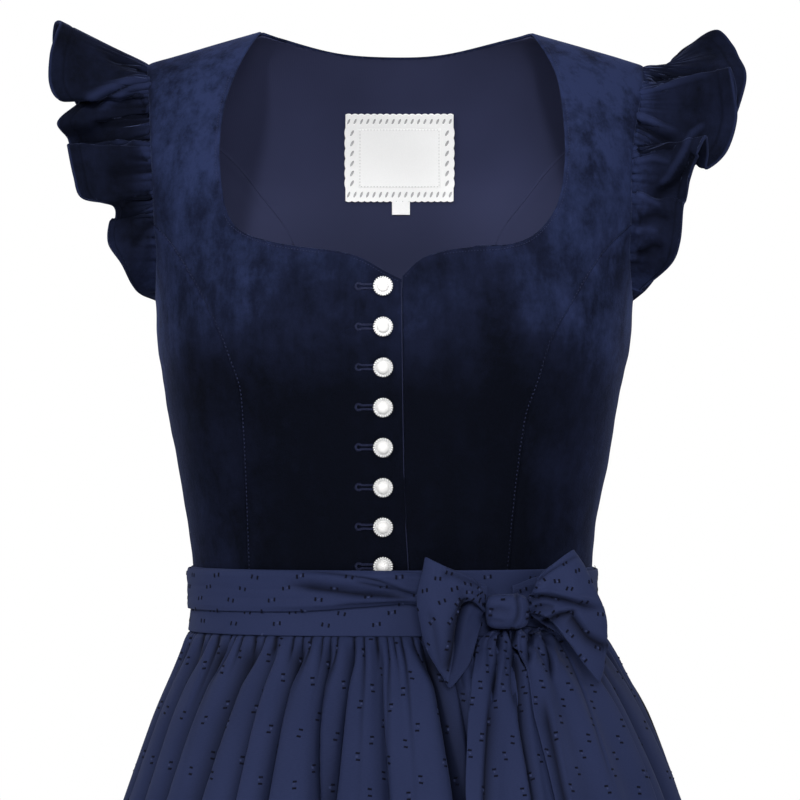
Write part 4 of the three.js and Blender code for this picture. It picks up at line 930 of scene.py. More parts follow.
# ---------------------------------------------------------------- apron band and ties
# The band is a straight strip of the apron cloth. The ties are sewn to its ends, cross behind the
# back and come round to the front again, where they lie over the band in long pressed creases.
BAND_TOP_Z = -331
TIE_STEP = APRON_CLOTH + SEAM_GAP
band_ring = smooth_table([
    (-331, 128.6, 93.9, 81.0, -1.0), (-345, 128.0, 93.2, 80.6, -1.0), (-352, 128.2, 93.3, 81.0, -1.0),
    (-362, 129.6, 95.2, 83.2, -0.6), (BAND_BOTTOM_Z, 131.8, 97.6, 86.4, 0.4),
])
BUTTON_BULGE = {"x": -7, "z": -331, "wide": 12, "tall": 7, "out": 4.4}


def band_point(theta, z, out=0.0):
    theta, z = np.broadcast_arrays(np.asarray(theta, float), np.asarray(z, float))
    x, y = ring_point(theta, band_ring(z), out)
    spans = ((x - BUTTON_BULGE["x"]) / BUTTON_BULGE["wide"]) ** 2
    spans = spans + ((z - BUTTON_BULGE["z"]) / BUTTON_BULGE["tall"]) ** 2
    return np.stack([x, y - np.where(y < 0, BUTTON_BULGE["out"] * np.exp(-spans), 0), z], axis=-1)


theta = np.linspace(APRON_FROM, APRON_TO, 181)[None, :]
z = np.linspace(BAND_BOTTOM_Z, BAND_TOP_Z, 25)[:, None]
points = band_point(theta, z, 0.15 * np.sin(theta / 3.1) * np.exp((BAND_BOTTOM_Z - z) / 6))
normals = grid_normals(points)
uv = cloth_uv(points)
band = cloth_object("apron_band", points, normals, APRON_CLOTH, uv)
finish_sheet(band, "apron_waistband", apron_cloth)
woven_dots("band_dots", points, normals, uv[12, :, 0], uv[:, 90, 1], turned=True)


def drawn_creases(points, normals, creases):
    """Sinks cloth along lines of the front view: depth, width on the left and right of the way, (x, z); also
    gives the fold, painted shade along each sunk line and a painted highlight along each raised one.
    """
    sunk = np.zeros(points.shape[:2])
    fold = np.zeros_like(sunk)
    seen = points[..., [0, 2]]
    for deep, left, right, line in creases:
        path = through(line, 36)
        nearest = np.full(sunk.shape, 1e9)
        beside, share = np.zeros_like(sunk), np.zeros_like(sunk)
        for k, (start, end) in enumerate(zip(path[:-1], path[1:])):
            run = end - start
            t = np.clip((seen - start) @ run / (run @ run), 0, 1)
            away = seen - start - t[..., None] * run
            far = np.hypot(away[..., 0], away[..., 1])
            closer = far < nearest
            nearest = np.where(closer, far, nearest)
            beside = np.where(closer, np.sign(run[0] * away[..., 1] - run[1] * away[..., 0]) * far, beside)
            share = np.where(closer, (k + t) / 36, share)
        ends = ease(0, 0.2, share) * ease(0, 0.2, 1 - share)
        width = np.where(beside > 0, left, right)
        valley = np.exp(-np.abs(beside / width) ** 1.5)
        sunk = sunk + deep * ends * (valley - 0.35 * np.exp(-((beside / width - 2) ** 2)))
        drawn = ends * valley * max(-1, min(1, deep / 2.6))
        fold = np.where(np.abs(drawn) > np.abs(fold), drawn, fold)
    facing = np.clip(-2 * normals[..., 1:2], -1, 1)
    return points - normals * facing * sunk[..., None], fold


# Each tie: angle, lower edge and upper edge; then its creases as height at the start, at the end and depth.
TIES = {
    "tie_front_right": {
        "edges": [(-112, -360, -332), (-90, -358, -332), (-40, -357, -331.5), (-12, -354, -331.5),
                  (8, -352, -333), (33, -357, -340)],
        "lift": lambda theta: TIE_STEP * ease(-110, -102, theta),
        "creases": [(0.30, 0.36, 0.25), (0.62, 0.50, 0.3)], "puff": 2.2,
        "drawn": [
            (1.3, 0.9, 1.4, [(-70, -329.6), (-42.5, -331.9), (-11.6, -337), (7.2, -343.7), (16, -347)]),
            (1.3, 1.0, 1.6, [(-27.6, -337.1), (-9.5, -340.6), (7.8, -344.6), (16, -346)]),
            (2.3, 3.4, 1.7, [(-71, -339.8), (-44.6, -343.2), (-25.1, -345.8), (-9.5, -346.8), (16, -348.6)]),
            (0.8, 1.2, 2.2, [(-40, -352.5), (-20, -351.6), (-4, -351), (14, -350.5)]),
        ],
        "flat": (0.29, 0.03), "area": 0.0066,
    },
    "tie_front_left": {
        "edges": [(42, -365, -341), (52, -368, -335), (70, -369, -333), (97, -366, -332)],
        "lift": lambda theta: TIE_STEP * (1 - ease(84, 92, theta)),
        "creases": [(0.3, 0.2, 0.5), (0.75, 0.8, 0.4)], "puff": 0, "drawn": [],
        "flat": (0.12, 0.036), "area": 0.0038,
    },
    "tie_back": {
        "edges": [(97.16, -366, -332), (180, -369, -333), (247.84, -360, -332)],
        "lift": lambda theta: 0.0 * theta,
        "creases": [(0.2, 0.3, 0.8), (0.5, 0.45, 0.9), (0.8, 0.7, 0.7)], "puff": 0, "drawn": [],
        "flat": (0.29, 0.037), "area": 0.0095,
    },
}
for node, tie in TIES.items():
    edges = smooth_table(tie["edges"])
    theta = np.linspace(tie["edges"][0][0], tie["edges"][-1][0], 170)[None, :]
    up = np.linspace(0, 1, 41)[:, None]
    low, high = edges(theta)
    t = (theta - theta[0, 0]) / (theta[0, -1] - theta[0, 0])
    out = 1.3 + 0.25 * np.sin(theta / 6.1 + 5 * up) + tie["puff"] * ease(-62, -12, theta)
    for start, end, deep in tie["creases"]:
        line = start + (end - start) * t + 0.02 * np.sin(theta / 9 + 7 * start)
        off = (up - line) / 0.085
        out = out - deep * np.exp(-np.abs(off) ** 1.5) + 0.35 * deep * np.exp(-((off - 1.6) ** 2))
    out = 0.4 + (out - 0.4) * np.minimum(1, 8 * up) * np.minimum(1, 8 * (1 - up))
    points = band_point(theta, low + (high - low) * up, tie["lift"](theta) + out)
    points, fold = drawn_creases(points, grid_normals(points), tie["drawn"])
    normals = grid_normals(points)
    uv = cloth_uv(points)
    wound = cloth_object(f"wound_{node}", points, normals, APRON_CLOTH, uv, fold)
    finish_sheet(wound, node, apron_cloth)
    woven_dots(f"{node}_dots", points, normals, uv[20, :, 0], uv[:, 85, 1], turned=True)

# ---------------------------------------------------------------- bow
# The two ties are tied in front, over the wearer's left hip: a knot wrapped by one tie, two soft
# loops and two long tails that hang over the apron.
KNOT = {"x": 70, "y": -96.6, "z": -356.4, "wide": 13.4, "deep": 10, "tall": 10.8, "square": 0.5}
KNOT_CREASES = [
    (1.5, 0.9, 1.6, [(73, -341), (75.6, -344.2), (76.9, -349.3), (77.6, -355.5), (76.1, -361.5),
                     (71, -368.7)]),
    (0.8, 1.4, 2.2, [(54, -357.5), (60, -355), (66, -354.3), (75, -357.6)]),
    (0.6, 1.2, 1.8, [(55, -361.5), (62, -361.5), (70, -363.5)]),
]


def knot_object(name, shape, columns=96, rows=68):
    """A soft rounded block with the creases of the cloth that is wrapped round it."""
    turn = np.linspace(0, 2 * math.pi, columns, endpoint=False)[None, :]
    tilt = np.linspace(-math.pi / 2, math.pi / 2, rows)[1:-1, None]

    def rounded(v):
        return np.sign(v) * np.abs(v) ** shape["square"]

    x = shape["wide"] * rounded(np.cos(turn)) * rounded(np.cos(tilt))
    y = shape["deep"] * rounded(np.sin(turn)) * rounded(np.cos(tilt))
    z = shape["tall"] * rounded(np.sin(tilt)) * np.ones_like(turn)
    points = np.stack(np.broadcast_arrays(x, y, z), axis=-1)
    place = np.array([shape["x"], shape["y"], shape["z"]])
    outwards = unit(points / [shape["wide"], shape["deep"], shape["tall"]])
    points, fold = drawn_creases(points + place, outwards, KNOT_CREASES)
    poles = [place - [0, 0, shape["tall"]], place + [0, 0, shape["tall"]]]
    vertices = np.vstack([points.reshape(-1, 3), poles]) * MM
    grid = np.arange((rows - 2) * columns).reshape(rows - 2, columns)
    after = np.roll(grid, -1, axis=1)
    quads = np.stack([grid[:-1], after[:-1], after[1:], grid[1:]], axis=-1).reshape(-1, 4).tolist()
    south, north = grid.size, grid.size + 1
    caps = [[int(b), int(a), south] for a, b in zip(grid[0], after[0])]
    caps += [[int(a), int(b), north] for a, b in zip(grid[-1], after[-1])]
    mesh = bpy.data.meshes.new(name)
    mesh.from_pydata(vertices.tolist(), [], quads + caps)
    layer = mesh.uv_layers.new(name="cloth")
    for loop, coordinate in zip(mesh.loops, layer.data):
        corner = mesh.vertices[loop.vertex_index].co
        coordinate.uv = (corner.x, corner.z)
    # The fold attribute carries the creases' painted shade to the cloth's material.
    mesh.attributes.new("fold", "FLOAT", "POINT").data.foreach_set("value", np.append(fold.ravel(), [0, 0]))
    mesh.shade_smooth()
    knot = new_piece(name, mesh)
    front = points[5:-5, columns // 2 + 3:-3]
    woven_dots("knot_dots", front, grid_normals(front), front[30, :, 0], front[:, 22, 2])
    return knot


knot = knot_object("tied_knot", KNOT)
knot.data.materials.append(apron_cloth)
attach(knot, "root")
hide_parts("bow_knot")

# Sections across each loop from the upper to the lower edge: x, y, z, x, y, z, then side and fore bulge.
LOOPS = {
    "bow_loop_right": [
        (55.8, -98.5, -349, 55.8, -98.5, -356.7, 0, 0), (52, -107, -338, 48, -108, -349.5, 0, 0),
        (42.4, -111, -332.2, 41.8, -114, -352, 0, 0), (33.2, -113, -328.5, 38.1, -120, -363, 0, 0),
        (25.1, -113, -324.8, 36.3, -124, -380, -7, 2), (19.6, -108, -322.3, 33.8, -121, -402, -11, 0),
        (22.5, -103, -325.2, 42.4, -115, -394, -6, 0), (31.3, -100, -332.5, 47.4, -111, -386, 0, 0),
        (41, -98, -340.5, 51.1, -106, -373.6, 0, 0), (55.6, -94.5, -350, 54, -96.5, -363, 0, 0),
    ],
    "bow_loop_left": [
        (83.5, -98.2, -350, 83.8, -98.2, -357.3, 0, 0), (90, -102, -334, 95, -104, -360, 0, 0),
        (100, -100, -325.6, 105.2, -103, -372, 0, 0), (106.6, -96, -320.8, 117.8, -102, -389, 5, 3),
        (111.2, -90, -318.4, 127.2, -97, -400.5, 11.5, 0), (106, -85, -324.5, 121.5, -92, -391, 7, 0),
        (96, -88, -336, 106.5, -93, -374, 0, 0), (84.4, -93, -350, 85, -94.5, -359, 0, 0),
    ],
}
LOOP_CREASES = {
    "bow_loop_right": [
        (3.0, 2.2, 3.4, [(46.7, -346.9), (43.3, -350), (39, -362.1), (35.8, -376.2), (33.1, -388.2),
                         (31.9, -395)]),
        (0.9, 1.6, 3.0, [(58, -343), (47, -338), (36, -333.5), (28, -334)]),
        (0.7, 2.6, 1.6, [(20, -352), (24, -366), (27, -382), (30, -396)]),
    ],
    "bow_loop_left": [
        (1.0, 0.8, 1.2, [(72, -351.5), (77, -348.3), (88.2, -337.7), (98.7, -330.1), (110.6, -323.4),
                         (116, -322)]),
        (4.2, 1.2, 3.0, [(78, -350.5), (87.4, -346.8), (94.4, -346.1), (102.2, -347.4), (112.7, -350),
                         (119.7, -351.7), (134, -356)]),
        (3.2, 1.3, 3.6, [(90, -363.5), (95, -360.7), (102.2, -357.8), (107.5, -356.7), (115, -354.6)]),
        (2.6, 2.2, 4.2, [(106.6, -357.2), (110.6, -360.4), (113.6, -364), (119.7, -371),
                         (128.4, -376.2), (140, -380.5)]),
        (1.2, 1.6, 3.6, [(84, -354), (93, -352.5), (101, -353.5)]),
        (0.8, 1.8, 4.0, [(99, -368), (106, -376), (115, -388), (120, -398)]),
    ],
}


def ribbon(sections, across, steps):
    """Points of a ribbon, across rows by steps columns, from sections across it."""
    line = through(sections, steps)
    s = np.linspace(0, 1, across)[:, None, None]
    upper, lower = line[None, :, 0:3], line[None, :, 3:6]
    bulge = np.stack([line[:, 6], -line[:, 7], 0 * line[:, 6]], axis=-1)[None]
    return upper + (lower - upper) * s + bulge * np.sin(math.pi * s)


for node, sections in LOOPS.items():
    points = ribbon(sections, 61, 160)
    s = np.linspace(0, 1, 61)[:, None]
    t = np.linspace(0, 1, 161)[None, :]
    pinch = 1 - np.sin(math.pi * t) ** 0.7
    waves = 1.1 * np.sin(9.0 * s + 2.4 * np.sin(3 * t)) * pinch
    waves = waves + 0.5 * np.sin(15 * s + 4 * t + 1) * (1 - 0.6 * pinch)
    waves = waves * np.minimum(1, 10 * s) * np.minimum(1, 10 * (1 - s))
    points = points + grid_normals(points) * waves[..., None]
    points, fold = drawn_creases(points, grid_normals(points), LOOP_CREASES[node])
    normals = grid_normals(points)
    uv = cloth_uv(points)
    loop = cloth_object(f"soft_{node}", points, normals, APRON_CLOTH, uv, fold)
    finish_sheet(loop, node, apron_cloth)
    outer_side = normals if node == "bow_loop_right" else -normals
    woven_dots(f"{node}_dots", points, outer_side, uv[30, :, 0], uv[:, 80, 1], turned=True)

# Each tail: height, first and last angle; how far it stands off, where it ends and its own folds.
TAIL_START_OUT = 9.5
TAILS = {
    "bow_tail_lower": {
        "edges": [(-367.8, 33, 36), (-374, 27.5, 36.5), (-402, 19.6, 37), (-434, 15.3, 38),
                  (-471, 12.8, 38.5), (-600, 12, 38), (-800, 12, 37)],
        "lift": 0, "end": -800, "ridges": 1.5, "flat": (0.09, 0.44),
    },
    "bow_tail_upper": {
        "edges": [(-367.8, 37.2, 48), (-374, 37, 53.5), (-390, 36.5, 55.5), (-423, 33.2, 57),
                  (-471, 32.3, 57), (-600, 32, 55.5), (-780, 32, 53)],
        "lift": 3.4, "end": -780, "ridges": 2.5, "flat": (0.09, 0.42),
    },
}
TAIL_CREASES = [
    (5.0, 1.6, 1.4, [(67.4, -355), (67.2, -362.6), (65.9, -368.1), (64.1, -381.1), (61.6, -399.7),
                     (60, -418)]),
    (5.0, 1.3, 1.6, [(74.6, -355), (74.6, -362.6), (74.5, -367.5), (74.2, -377.8), (73.8, -398.6),
                     (75.2, -418)]),
    (5.5, 1.6, 1.9, [(88.6, -355), (87.6, -362.6), (85.7, -368.7), (84.2, -377.8), (82.6, -392.5)]),
    (4.0, 1.8, 1.2, [(92, -362), (93.2, -371.2), (94.6, -376.9), (96.2, -385.6), (98.1, -401.7)]),
    (3.6, 2.6, 1.2, [(75.2, -380), (75.8, -390.4), (77.7, -423.1), (82, -451), (86.3, -480),
                     (92, -520), (100, -600)]),
    (2.4, 4.0, 1.4, [(60, -400), (57, -430), (55, -460), (54, -500), (54, -580)]),
    (2.2, 1.4, 4.0, [(92, -405), (97, -430), (103, -460), (109, -490), (118, -560)]),
    (0.8, 0.7, 1.1, [(82, -356), (83.3, -360.7), (98.1, -371), (107, -383), (116.5, -405),
                     (128, -440), (140, -480)]),
]
for node, tail in TAILS.items():
    edges = smooth_table(tail["edges"])
    z = np.r_[np.linspace(tail["end"], -490, 26), np.linspace(-487, tail["edges"][0][0], 84)][:, None]
    s = np.linspace(0, 1, 81)[None, :]
    start, end = edges(z)
    ridge = tail["ridges"] * (0.5 - 0.5 * np.cos(2 * math.pi * (s * 2.5 + 0.1)))
    ridge = ridge + 0.35 * tail["ridges"] * np.sin(23 * s + z / 40) * np.exp((z + 368) / 50)
    theta = start + (end - start) * s
    out = np.maximum(TAIL_START_OUT, apron_floor(z) + apron_lift(theta, z) + APRON_CLOTH + SEAM_GAP * 2 + 0.6)
    points = skirt_point(theta, z, out + tail["lift"] + ridge)
    points, fold = drawn_creases(points, grid_normals(points), TAIL_CREASES)
    normals = grid_normals(points)
    width = np.linspace(-32, 32, s.size)
    uv = np.stack(np.broadcast_arrays(width[None, :], z), axis=-1)
    hanging = cloth_object(f"hanging_{node}", points, normals, APRON_CLOTH, uv, fold)
    finish_sheet(hanging, node, apron_cloth)
    woven_dots(f"{node}_dots", points, normals, width, z[:, 0])

# ---------------------------------------------------------------- armhole ruffles
# Doubled strips of velvet, gathered into the armhole seam from the underarm over the shoulder.
# They stand out from the shoulder and fall in deep round folds.
RUFFLE_CLOTH = 2.0
ARMHOLE_CENTRE = (4, -88)
RUFFLE_SEAT = RUFFLE_CLOTH / 2 + 0.1
# Place along the armhole; the free edge's way out to the side, to the front and up from the seam.
RUFFLE_FOLDS = {
    "right": [
        (0, 2, 0, 0), (0.06, 15, 6, 0), (0.12, 24, 8, 0), (0.16, 32, 4, -1), (0.2, 30, -6, -2),
        (0.218, 26, -6, -6), (0.235, 27, 10, -4.5), (0.25, 45, 22, -6), (0.285, 50, 22, -4),
        (0.32, 54, 12, 3),
        (0.345, 53, -10, -14), (0.37, 54, -8, -9), (0.395, 59.5, 8, -6.6), (0.42, 46, -6, -0.5),
        (0.44, 57.6, 18, -6.5), (0.465, 63, 24, -3), (0.49, 63, 18, 10), (0.505, 60, 10, 22),
        (0.52, 58, 2, 29),
        (0.535, 63, -8, 31), (0.56, 66, -14, 24), (0.59, 64, -20, 15), (0.63, 54, -14, 3),
        (0.66, 48, -8, 2), (0.7, 44, -24, -8), (0.76, 24, -6, -2),
        (0.82, 22, -16, -8), (0.88, 18, -5, -2), (0.94, 14, -9, -3), (1, 2, 0, 0),
    ],
    "left": [
        (0, 2, 0, 0), (0.06, 8, 4, -1), (0.09, 9, -4, -5), (0.13, 27, 8, -2), (0.18, 33, 12, -5),
        (0.23, 34, 6, -2), (0.26, 36, 2, -7), (0.29, 39, 20, 2), (0.315, 46, 28, 11),
        (0.335, 48, 15, -6), (0.36, 47, 14, -23.5), (0.385, 57.5, 16, -21), (0.41, 62.6, 18, -8.5),
        (0.43, 60, 24, 3.7), (0.448, 56.7, 22, 14), (0.465, 61, 8, -4), (0.48, 59.5, 2, -25.6),
        (0.497, 66, -2, -10), (0.515, 67, -2, -1), (0.535, 63.5, -6, 8.3), (0.555, 61, -10, 22),
        (0.58, 54, -14, 39), (0.605, 43, -14, 40), (0.635, 32, -14, 35), (0.66, 38, -26, 10),
        (0.7, 36, -8, 0), (0.76, 28, -22, -8), (0.82, 24, -6, -2), (0.88, 22, -14, -6),
        (0.94, 14, -6, -2), (1, 2, 0, 0),
    ],
}
# Hollows and, with a minus, crests between the gathers of each ruffle, shaped and also painted as shade and
# highlight.
RUFFLE_CREASES = {
    "right": [
        (5.0, 6, 8, [(-154, -41), (-158, -42.9), (-170.7, -46.7), (-184, -50.5), (-193, -55)]),
        (-2.6, 3, 3, [(-152, -20), (-156.1, -20.8), (-171.9, -23.9), (-188.4, -30.9), (-201, -37)]),
        (-2.2, 3, 3, [(-152, -25), (-155.4, -25.8), (-166.2, -27.1), (-178.9, -34.4), (-192, -45)]),
        (1.6, 1.4, 1.4, [(-152, -23), (-156.7, -23.3), (-168.8, -25.8), (-182.7, -32.1), (-194, -40)]),
        (3.4, 1, 6, [(-152, -61), (-160, -61.3), (-178.9, -60.7), (-194.1, -62.6), (-206, -63.2)]),
        (-1.0, 1, 0.9, [(-156, -63.6), (-163.7, -63.4), (-178.9, -62.8), (-194.1, -64.5), (-207, -65.1)]),
        (2.2, 3, 3, [(-153, -19), (-157, -18), (-166, -12.5), (-176, -9), (-186, -6)]),
        (2.4, 6, 8, [(-153, -74), (-156, -76), (-170, -80), (-182, -87)]),
        (3.2, 2, 5, [(-152, -97), (-156, -98.6), (-164.3, -101.2), (-174, -104.3)]),
        (2.0, 3, 4, [(-150, -112), (-158, -118), (-166, -130)]),
    ],
    "left": [
        (-2.0, 1.2, 2.2, [(154, -31), (157.9, -29.2), (169.9, -26.8), (179.6, -23.6), (191.6, -20.4),
                          (210, -17.5)]),
        (3.0, 4, 1.6, [(156, -23), (168.2, -20.7), (187.2, -16.3), (209, -14.5)]),
        (-2.2, 2, 2, [(152, -45), (155.5, -46.1), (163.6, -49.3), (171.5, -53.3), (184, -58)]),
        (3.2, 2, 4, [(152, -48), (155.5, -49.3), (163.1, -54.4), (170.7, -58.8), (181, -61.5)]),
        (-2.0, 2.2, 2.2, [(198, -48), (194, -52.4), (187.5, -58.1), (183.4, -66.1), (177, -76.5),
                          (170, -86.9), (157, -94)]),
        (3.2, 4, 3, [(152, -67.5), (157, -67), (168, -65.1), (178, -67.5)]),
        (-1.8, 1.8, 1.8, [(152, -74.8), (155.5, -74.6), (165, -73.3), (177, -76.5)]),
        (3.4, 3, 6, [(189, -71), (187.2, -73.3), (182.1, -82.8), (173.2, -92.3), (158, -99.5)]),
        (-1.8, 1.8, 1.8, [(152, -95.5), (155.5, -96.7), (163.1, -100.5), (169, -105)]),
        (2.6, 3, 4, [(152, -110.5), (156, -110), (165, -108.1), (176, -112.5)]),
        (-1.6, 2, 2, [(151, -120), (158, -117), (168, -119)]),
        (2.8, 3, 4, [(151, -132.5), (156, -131.6), (163.1, -128.4), (171, -131)]),
    ],
}


def sign_of_front(points):
    """Plus where the cloth's own front looks forwards, minus where its back does."""
    return np.where(grid_normals(points)[..., 1] < 0, 1, -1)


def armhole_line(side):
    """Points along the seam of the armhole, evenly spaced, from the underarm up the front and round."""
    sign = SIGN[side]
    join_x = front_princess[side](ARMHOLE_JOIN_Z)[0]
    back_edge, top_z = back_armhole(side)
    spots = joined(
        spread(underarm_spots(side, join_x, ARMHOLE_JOIN_Z, "front")[::-1], 8),
        spread(seam_spots(armhole_front[side], ARMHOLE_JOIN_Z, top_z, "front"), 10),
        spread(seam_spots(back_edge, top_z, BACK_JOIN_Z, "back"), 6),
        spread(underarm_spots(side, sign * BACK_JOIN_X, BACK_JOIN_Z, "back"), 12),
    )
    points = body_point(spots)
    into = np.zeros_like(points)
    into[:, 1] = ARMHOLE_CENTRE[0] - points[:, 1]
    into[:, 2] = ARMHOLE_CENTRE[1] - points[:, 2]
    points = points + unit(into) * RUFFLE_SEAT - [sign * 1.8, 0, 0]
    line = through(points, 700)
    far = np.r_[0, np.cumsum(np.linalg.norm(np.diff(line, axis=0), axis=1))]
    return line, far / far[-1]


for side in ("right", "left"):
    sign = SIGN[side]
    line, share = armhole_line(side)
    folds = np.array(RUFFLE_FOLDS[side], float)
    roots = np.stack([np.interp(folds[:, 0], share, line[:, k]) for k in range(3)], axis=1)
    free = roots + folds[:, 1:] * [sign, -1, 1]
    sections = np.hstack([roots, free, np.zeros((len(folds), 2))])
    steps = (len(folds) - 1) * 12
    points = ribbon(sections, 49, steps)
    s = np.linspace(0, 1, 49)[:, None]
    t = np.arange(steps + 1)[None, :]
    pleats = np.sin(t * 0.95 + 1.5 * np.sin(t * 0.15)) + 0.6 * np.sin(t * 1.55 + 2)
    gathers = 1.1 * pleats * np.exp(-s * 4.2) * np.minimum(1, 14 * s)
    hem = -0.5 * np.exp(-(((s - 0.86) / 0.014) ** 2))
    points = points + grid_normals(points) * (gathers + hem)[..., None]
    points, fold = drawn_creases(points, grid_normals(points), RUFFLE_CREASES[side])
    # Painted shade and highlight: the pleats near the seam are painted dark in their hollows and light on
    # their crests, the hem's groove is painted dark and the free edge gets a painted highlight.
    facing = sign_of_front(points)
    fold = fold - 0.55 * facing * pleats * np.exp(-s * 4.2) + 0.7 * np.exp(-(((s - 0.86) / 0.012) ** 2))
    fold = np.clip(fold - 0.9 * ease(0.965, 0.99, s), -1, 1)
    normals = grid_normals(points)
    ruffle = cloth_object(f"velvet_ruffle_{side}", points, normals, RUFFLE_CLOTH, cloth_uv(points), fold)
    finish_sheet(ruffle, f"ruffle_{side}", navy_velvet)

# ---------------------------------------------------------------- buttons
# Eight pearl buttons in beaded metal rims, sewn through the right edge. Each has a turned seat, a
# ring of round beads and a domed pearl in the middle.
BUTTON = {
    "count": 8, "first": -154.9, "pitch": 24.8, "x": -7,
    "rim": 6.2, "dome": 4.0, "height": 4.6, "beads": 24, "bead": 0.70,
}


def gloss_material(name, colour, roughness, coat, metallic=0.0):
    n = Nodes(name)
    cloud = n.noise(n.place, 700, 3, 0.5)
    dark = tuple(0.93 * c for c in colour) + (1,)
    pale = tuple(min(1.0, 1.06 * c) for c in colour) + (1,)
    return n.finish({
        "Base Color": n.mix(cloud, dark, pale),
        "Roughness": n.ramp(cloud, 0.2, 0.8, roughness * 0.85, roughness * 1.2),
        "Metallic": metallic, "Coat Weight": coat, "Coat Roughness": 0.08,
    })


pearl = gloss_material("button_pearl", (0.86, 0.85, 0.84), 0.22, 0.6)
rim_metal = gloss_material("button_rim", (0.80, 0.80, 0.80), 0.30, 0.2, 0.25)


def start_editing(faces_up=False):
    """Opens the new primitive's mesh with all of it selected, or only the faces that look up."""
    for polygon in bpy.context.object.data.polygons:
        polygon.select = polygon.normal.z > 0.9
    bpy.ops.object.mode_set(mode="EDIT")
    bpy.ops.mesh.select_mode(type="FACE")
    if not faces_up:
        bpy.ops.mesh.select_all(action="SELECT")


def finish_editing():
    bpy.ops.object.mode_set(mode="OBJECT")
    bpy.ops.object.shade_smooth_by_angle(angle=math.radians(40))
    return bpy.context.object


def placed_copy(model, name, turn):
    copy = new_piece(name, model.data.copy())
    copy.data.transform(turn)
    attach(copy, "root")
    return copy


rim, dome_radius = BUTTON["rim"] * MM, BUTTON["dome"] * MM
bpy.ops.object.select_all(action="DESELECT")
bpy.ops.mesh.primitive_cylinder_add(vertices=48, radius=rim - 0.95 * MM, depth=1.0 * MM)
start_editing(faces_up=True)
bpy.ops.mesh.inset(thickness=0.55 * MM)
bpy.ops.transform.translate(value=(0, 0, 0.3 * MM))
bpy.ops.mesh.inset(thickness=0.35 * MM)
bpy.ops.transform.translate(value=(0, 0, -0.35 * MM))
bpy.ops.mesh.select_all(action="SELECT")
bpy.ops.transform.translate(value=(0, 0, 0.5 * MM))
seat = finish_editing()
seat.data.materials.append(rim_metal)

# One bead, flat below, then spun round the seat in as many copies as the rim has beads.
bpy.ops.object.select_all(action="DESELECT")
bpy.ops.mesh.primitive_ico_sphere_add(subdivisions=2, radius=BUTTON["bead"] * MM)
start_editing()
bpy.ops.mesh.bisect(plane_co=(0, 0, -0.55 * MM), plane_no=(0, 0, 1), clear_inner=True, use_fill=True)
bpy.ops.mesh.select_all(action="SELECT")
bpy.ops.transform.resize(value=(1.12, 0.94, 1.0), center_override=(0, 0, 0))
bpy.ops.transform.translate(value=(rim - BUTTON["bead"] * MM, 0, 1.15 * MM))
bpy.ops.mesh.spin(
    steps=BUTTON["beads"] - 1, dupli=True, angle=2 * math.pi * (BUTTON["beads"] - 1) / BUTTON["beads"],
    center=(0, 0, 0), axis=(0, 0, 1))
beads = finish_editing()
beads.data.materials.append(rim_metal)
bpy.ops.object.select_all(action="DESELECT")
beads.select_set(True)
seat.select_set(True)
bpy.context.view_layer.objects.active = seat
bpy.ops.object.join()

# The pearl is a sphere cut at its widest and pressed a little flatter.
bpy.ops.object.select_all(action="DESELECT")
bpy.ops.mesh.primitive_uv_sphere_add(segments=40, ring_count=20, radius=dome_radius)
start_editing()
bpy.ops.mesh.bisect(plane_co=(0, 0, 0), plane_no=(0, 0, 1), clear_inner=True, use_fill=True)
bpy.ops.mesh.select_all(action="SELECT")
bpy.ops.transform.resize(value=(1, 1, (BUTTON["height"] - 1.4) / BUTTON["dome"]), center_override=(0, 0, 0))
bpy.ops.transform.translate(value=(0, 0, 1.4 * MM))
dome = finish_editing()
dome.data.materials.append(pearl)
bpy.ops.object.select_all(action="DESELECT")
for k in range(BUTTON["count"]):
    where = spot(BUTTON["x"], BUTTON["first"] - k * BUTTON["pitch"], "front")
    out = body_normal(where)
    base = (body_point(where) + out * (VELVET / 2 + SEAM_GAP)) * MM
    turn = Matrix.Translation(base) @ Vector((0, 0, 1)).rotation_difference(Vector(out)).to_matrix().to_4x4()
    rim = placed_copy(seat, f"beaded_rim_{k + 1}", turn)
    placed_copy(dome, f"pearl_dome_{k + 1}", turn)
    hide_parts(f"button_{k + 1}")
for model in (seat, dome):
    bpy.data.objects.remove(model)

# ---------------------------------------------------------------- buttonholes
# Each button has a keyhole-shaped buttonhole in the right edge, closed all round with short thread
# stitches. It runs from under the button away from the opening.
KEYHOLE = {"from": -12.4, "to": -20.6, "half": 1.25, "eye": 1.9, "pitch": 0.62}
for k in range(BUTTON["count"]):
    z = BUTTON["first"] - k * BUTTON["pitch"]
    eye_turns = np.radians(np.linspace(40, 320, 15))
    eye_x = KEYHOLE["to"] - KEYHOLE["eye"] * 0.75
    outline = [(KEYHOLE["from"], z + KEYHOLE["half"]), (-16, z + KEYHOLE["half"])]
    outline += [(eye_x + KEYHOLE["eye"] * math.cos(a), z + KEYHOLE["eye"] * math.sin(a)) for a in eye_turns]
    outline += [(-16, z - KEYHOLE["half"]), (KEYHOLE["from"], z - KEYHOLE["half"])]
    line = through(outline, 200)
    far = np.r_[0, np.cumsum(np.hypot(*np.diff(line, axis=0).T))]
    want = np.arange(0, far[-1], KEYHOLE["pitch"])
    line = np.stack([np.interp(want, far, line[:, 0]), np.interp(want, far, line[:, 1])], axis=1)
    spots = spot(line[:, 0], line[:, 1], "front")
    centre, out = body_point(spots), body_normal(spots)
    across = np.cross(out, np.gradient(centre, axis=0))
    stitches = pillows(f"buttonhole_stitches_{k + 1}", centre, across, out, 0.85, 0.27,
                       VELVET / 2 + 0.42, VELVET / 2 - 0.3, [navy_thread])

# ---------------------------------------------------------------- label
# A white woven label with a lace border, sewn to the lining under the back neck, and a plain size
# tab folded under its lower edge. Both are bare.
LABEL = {"left": -32.7, "right": 39.1, "top": -36.3, "bottom": -93.6, "border": 8.6}
TAB = {"left": -1.8, "right": 10.1, "top": -93.9, "bottom": -103}
LABEL_LIFT = LINING_LIFT - LINING - 1.0


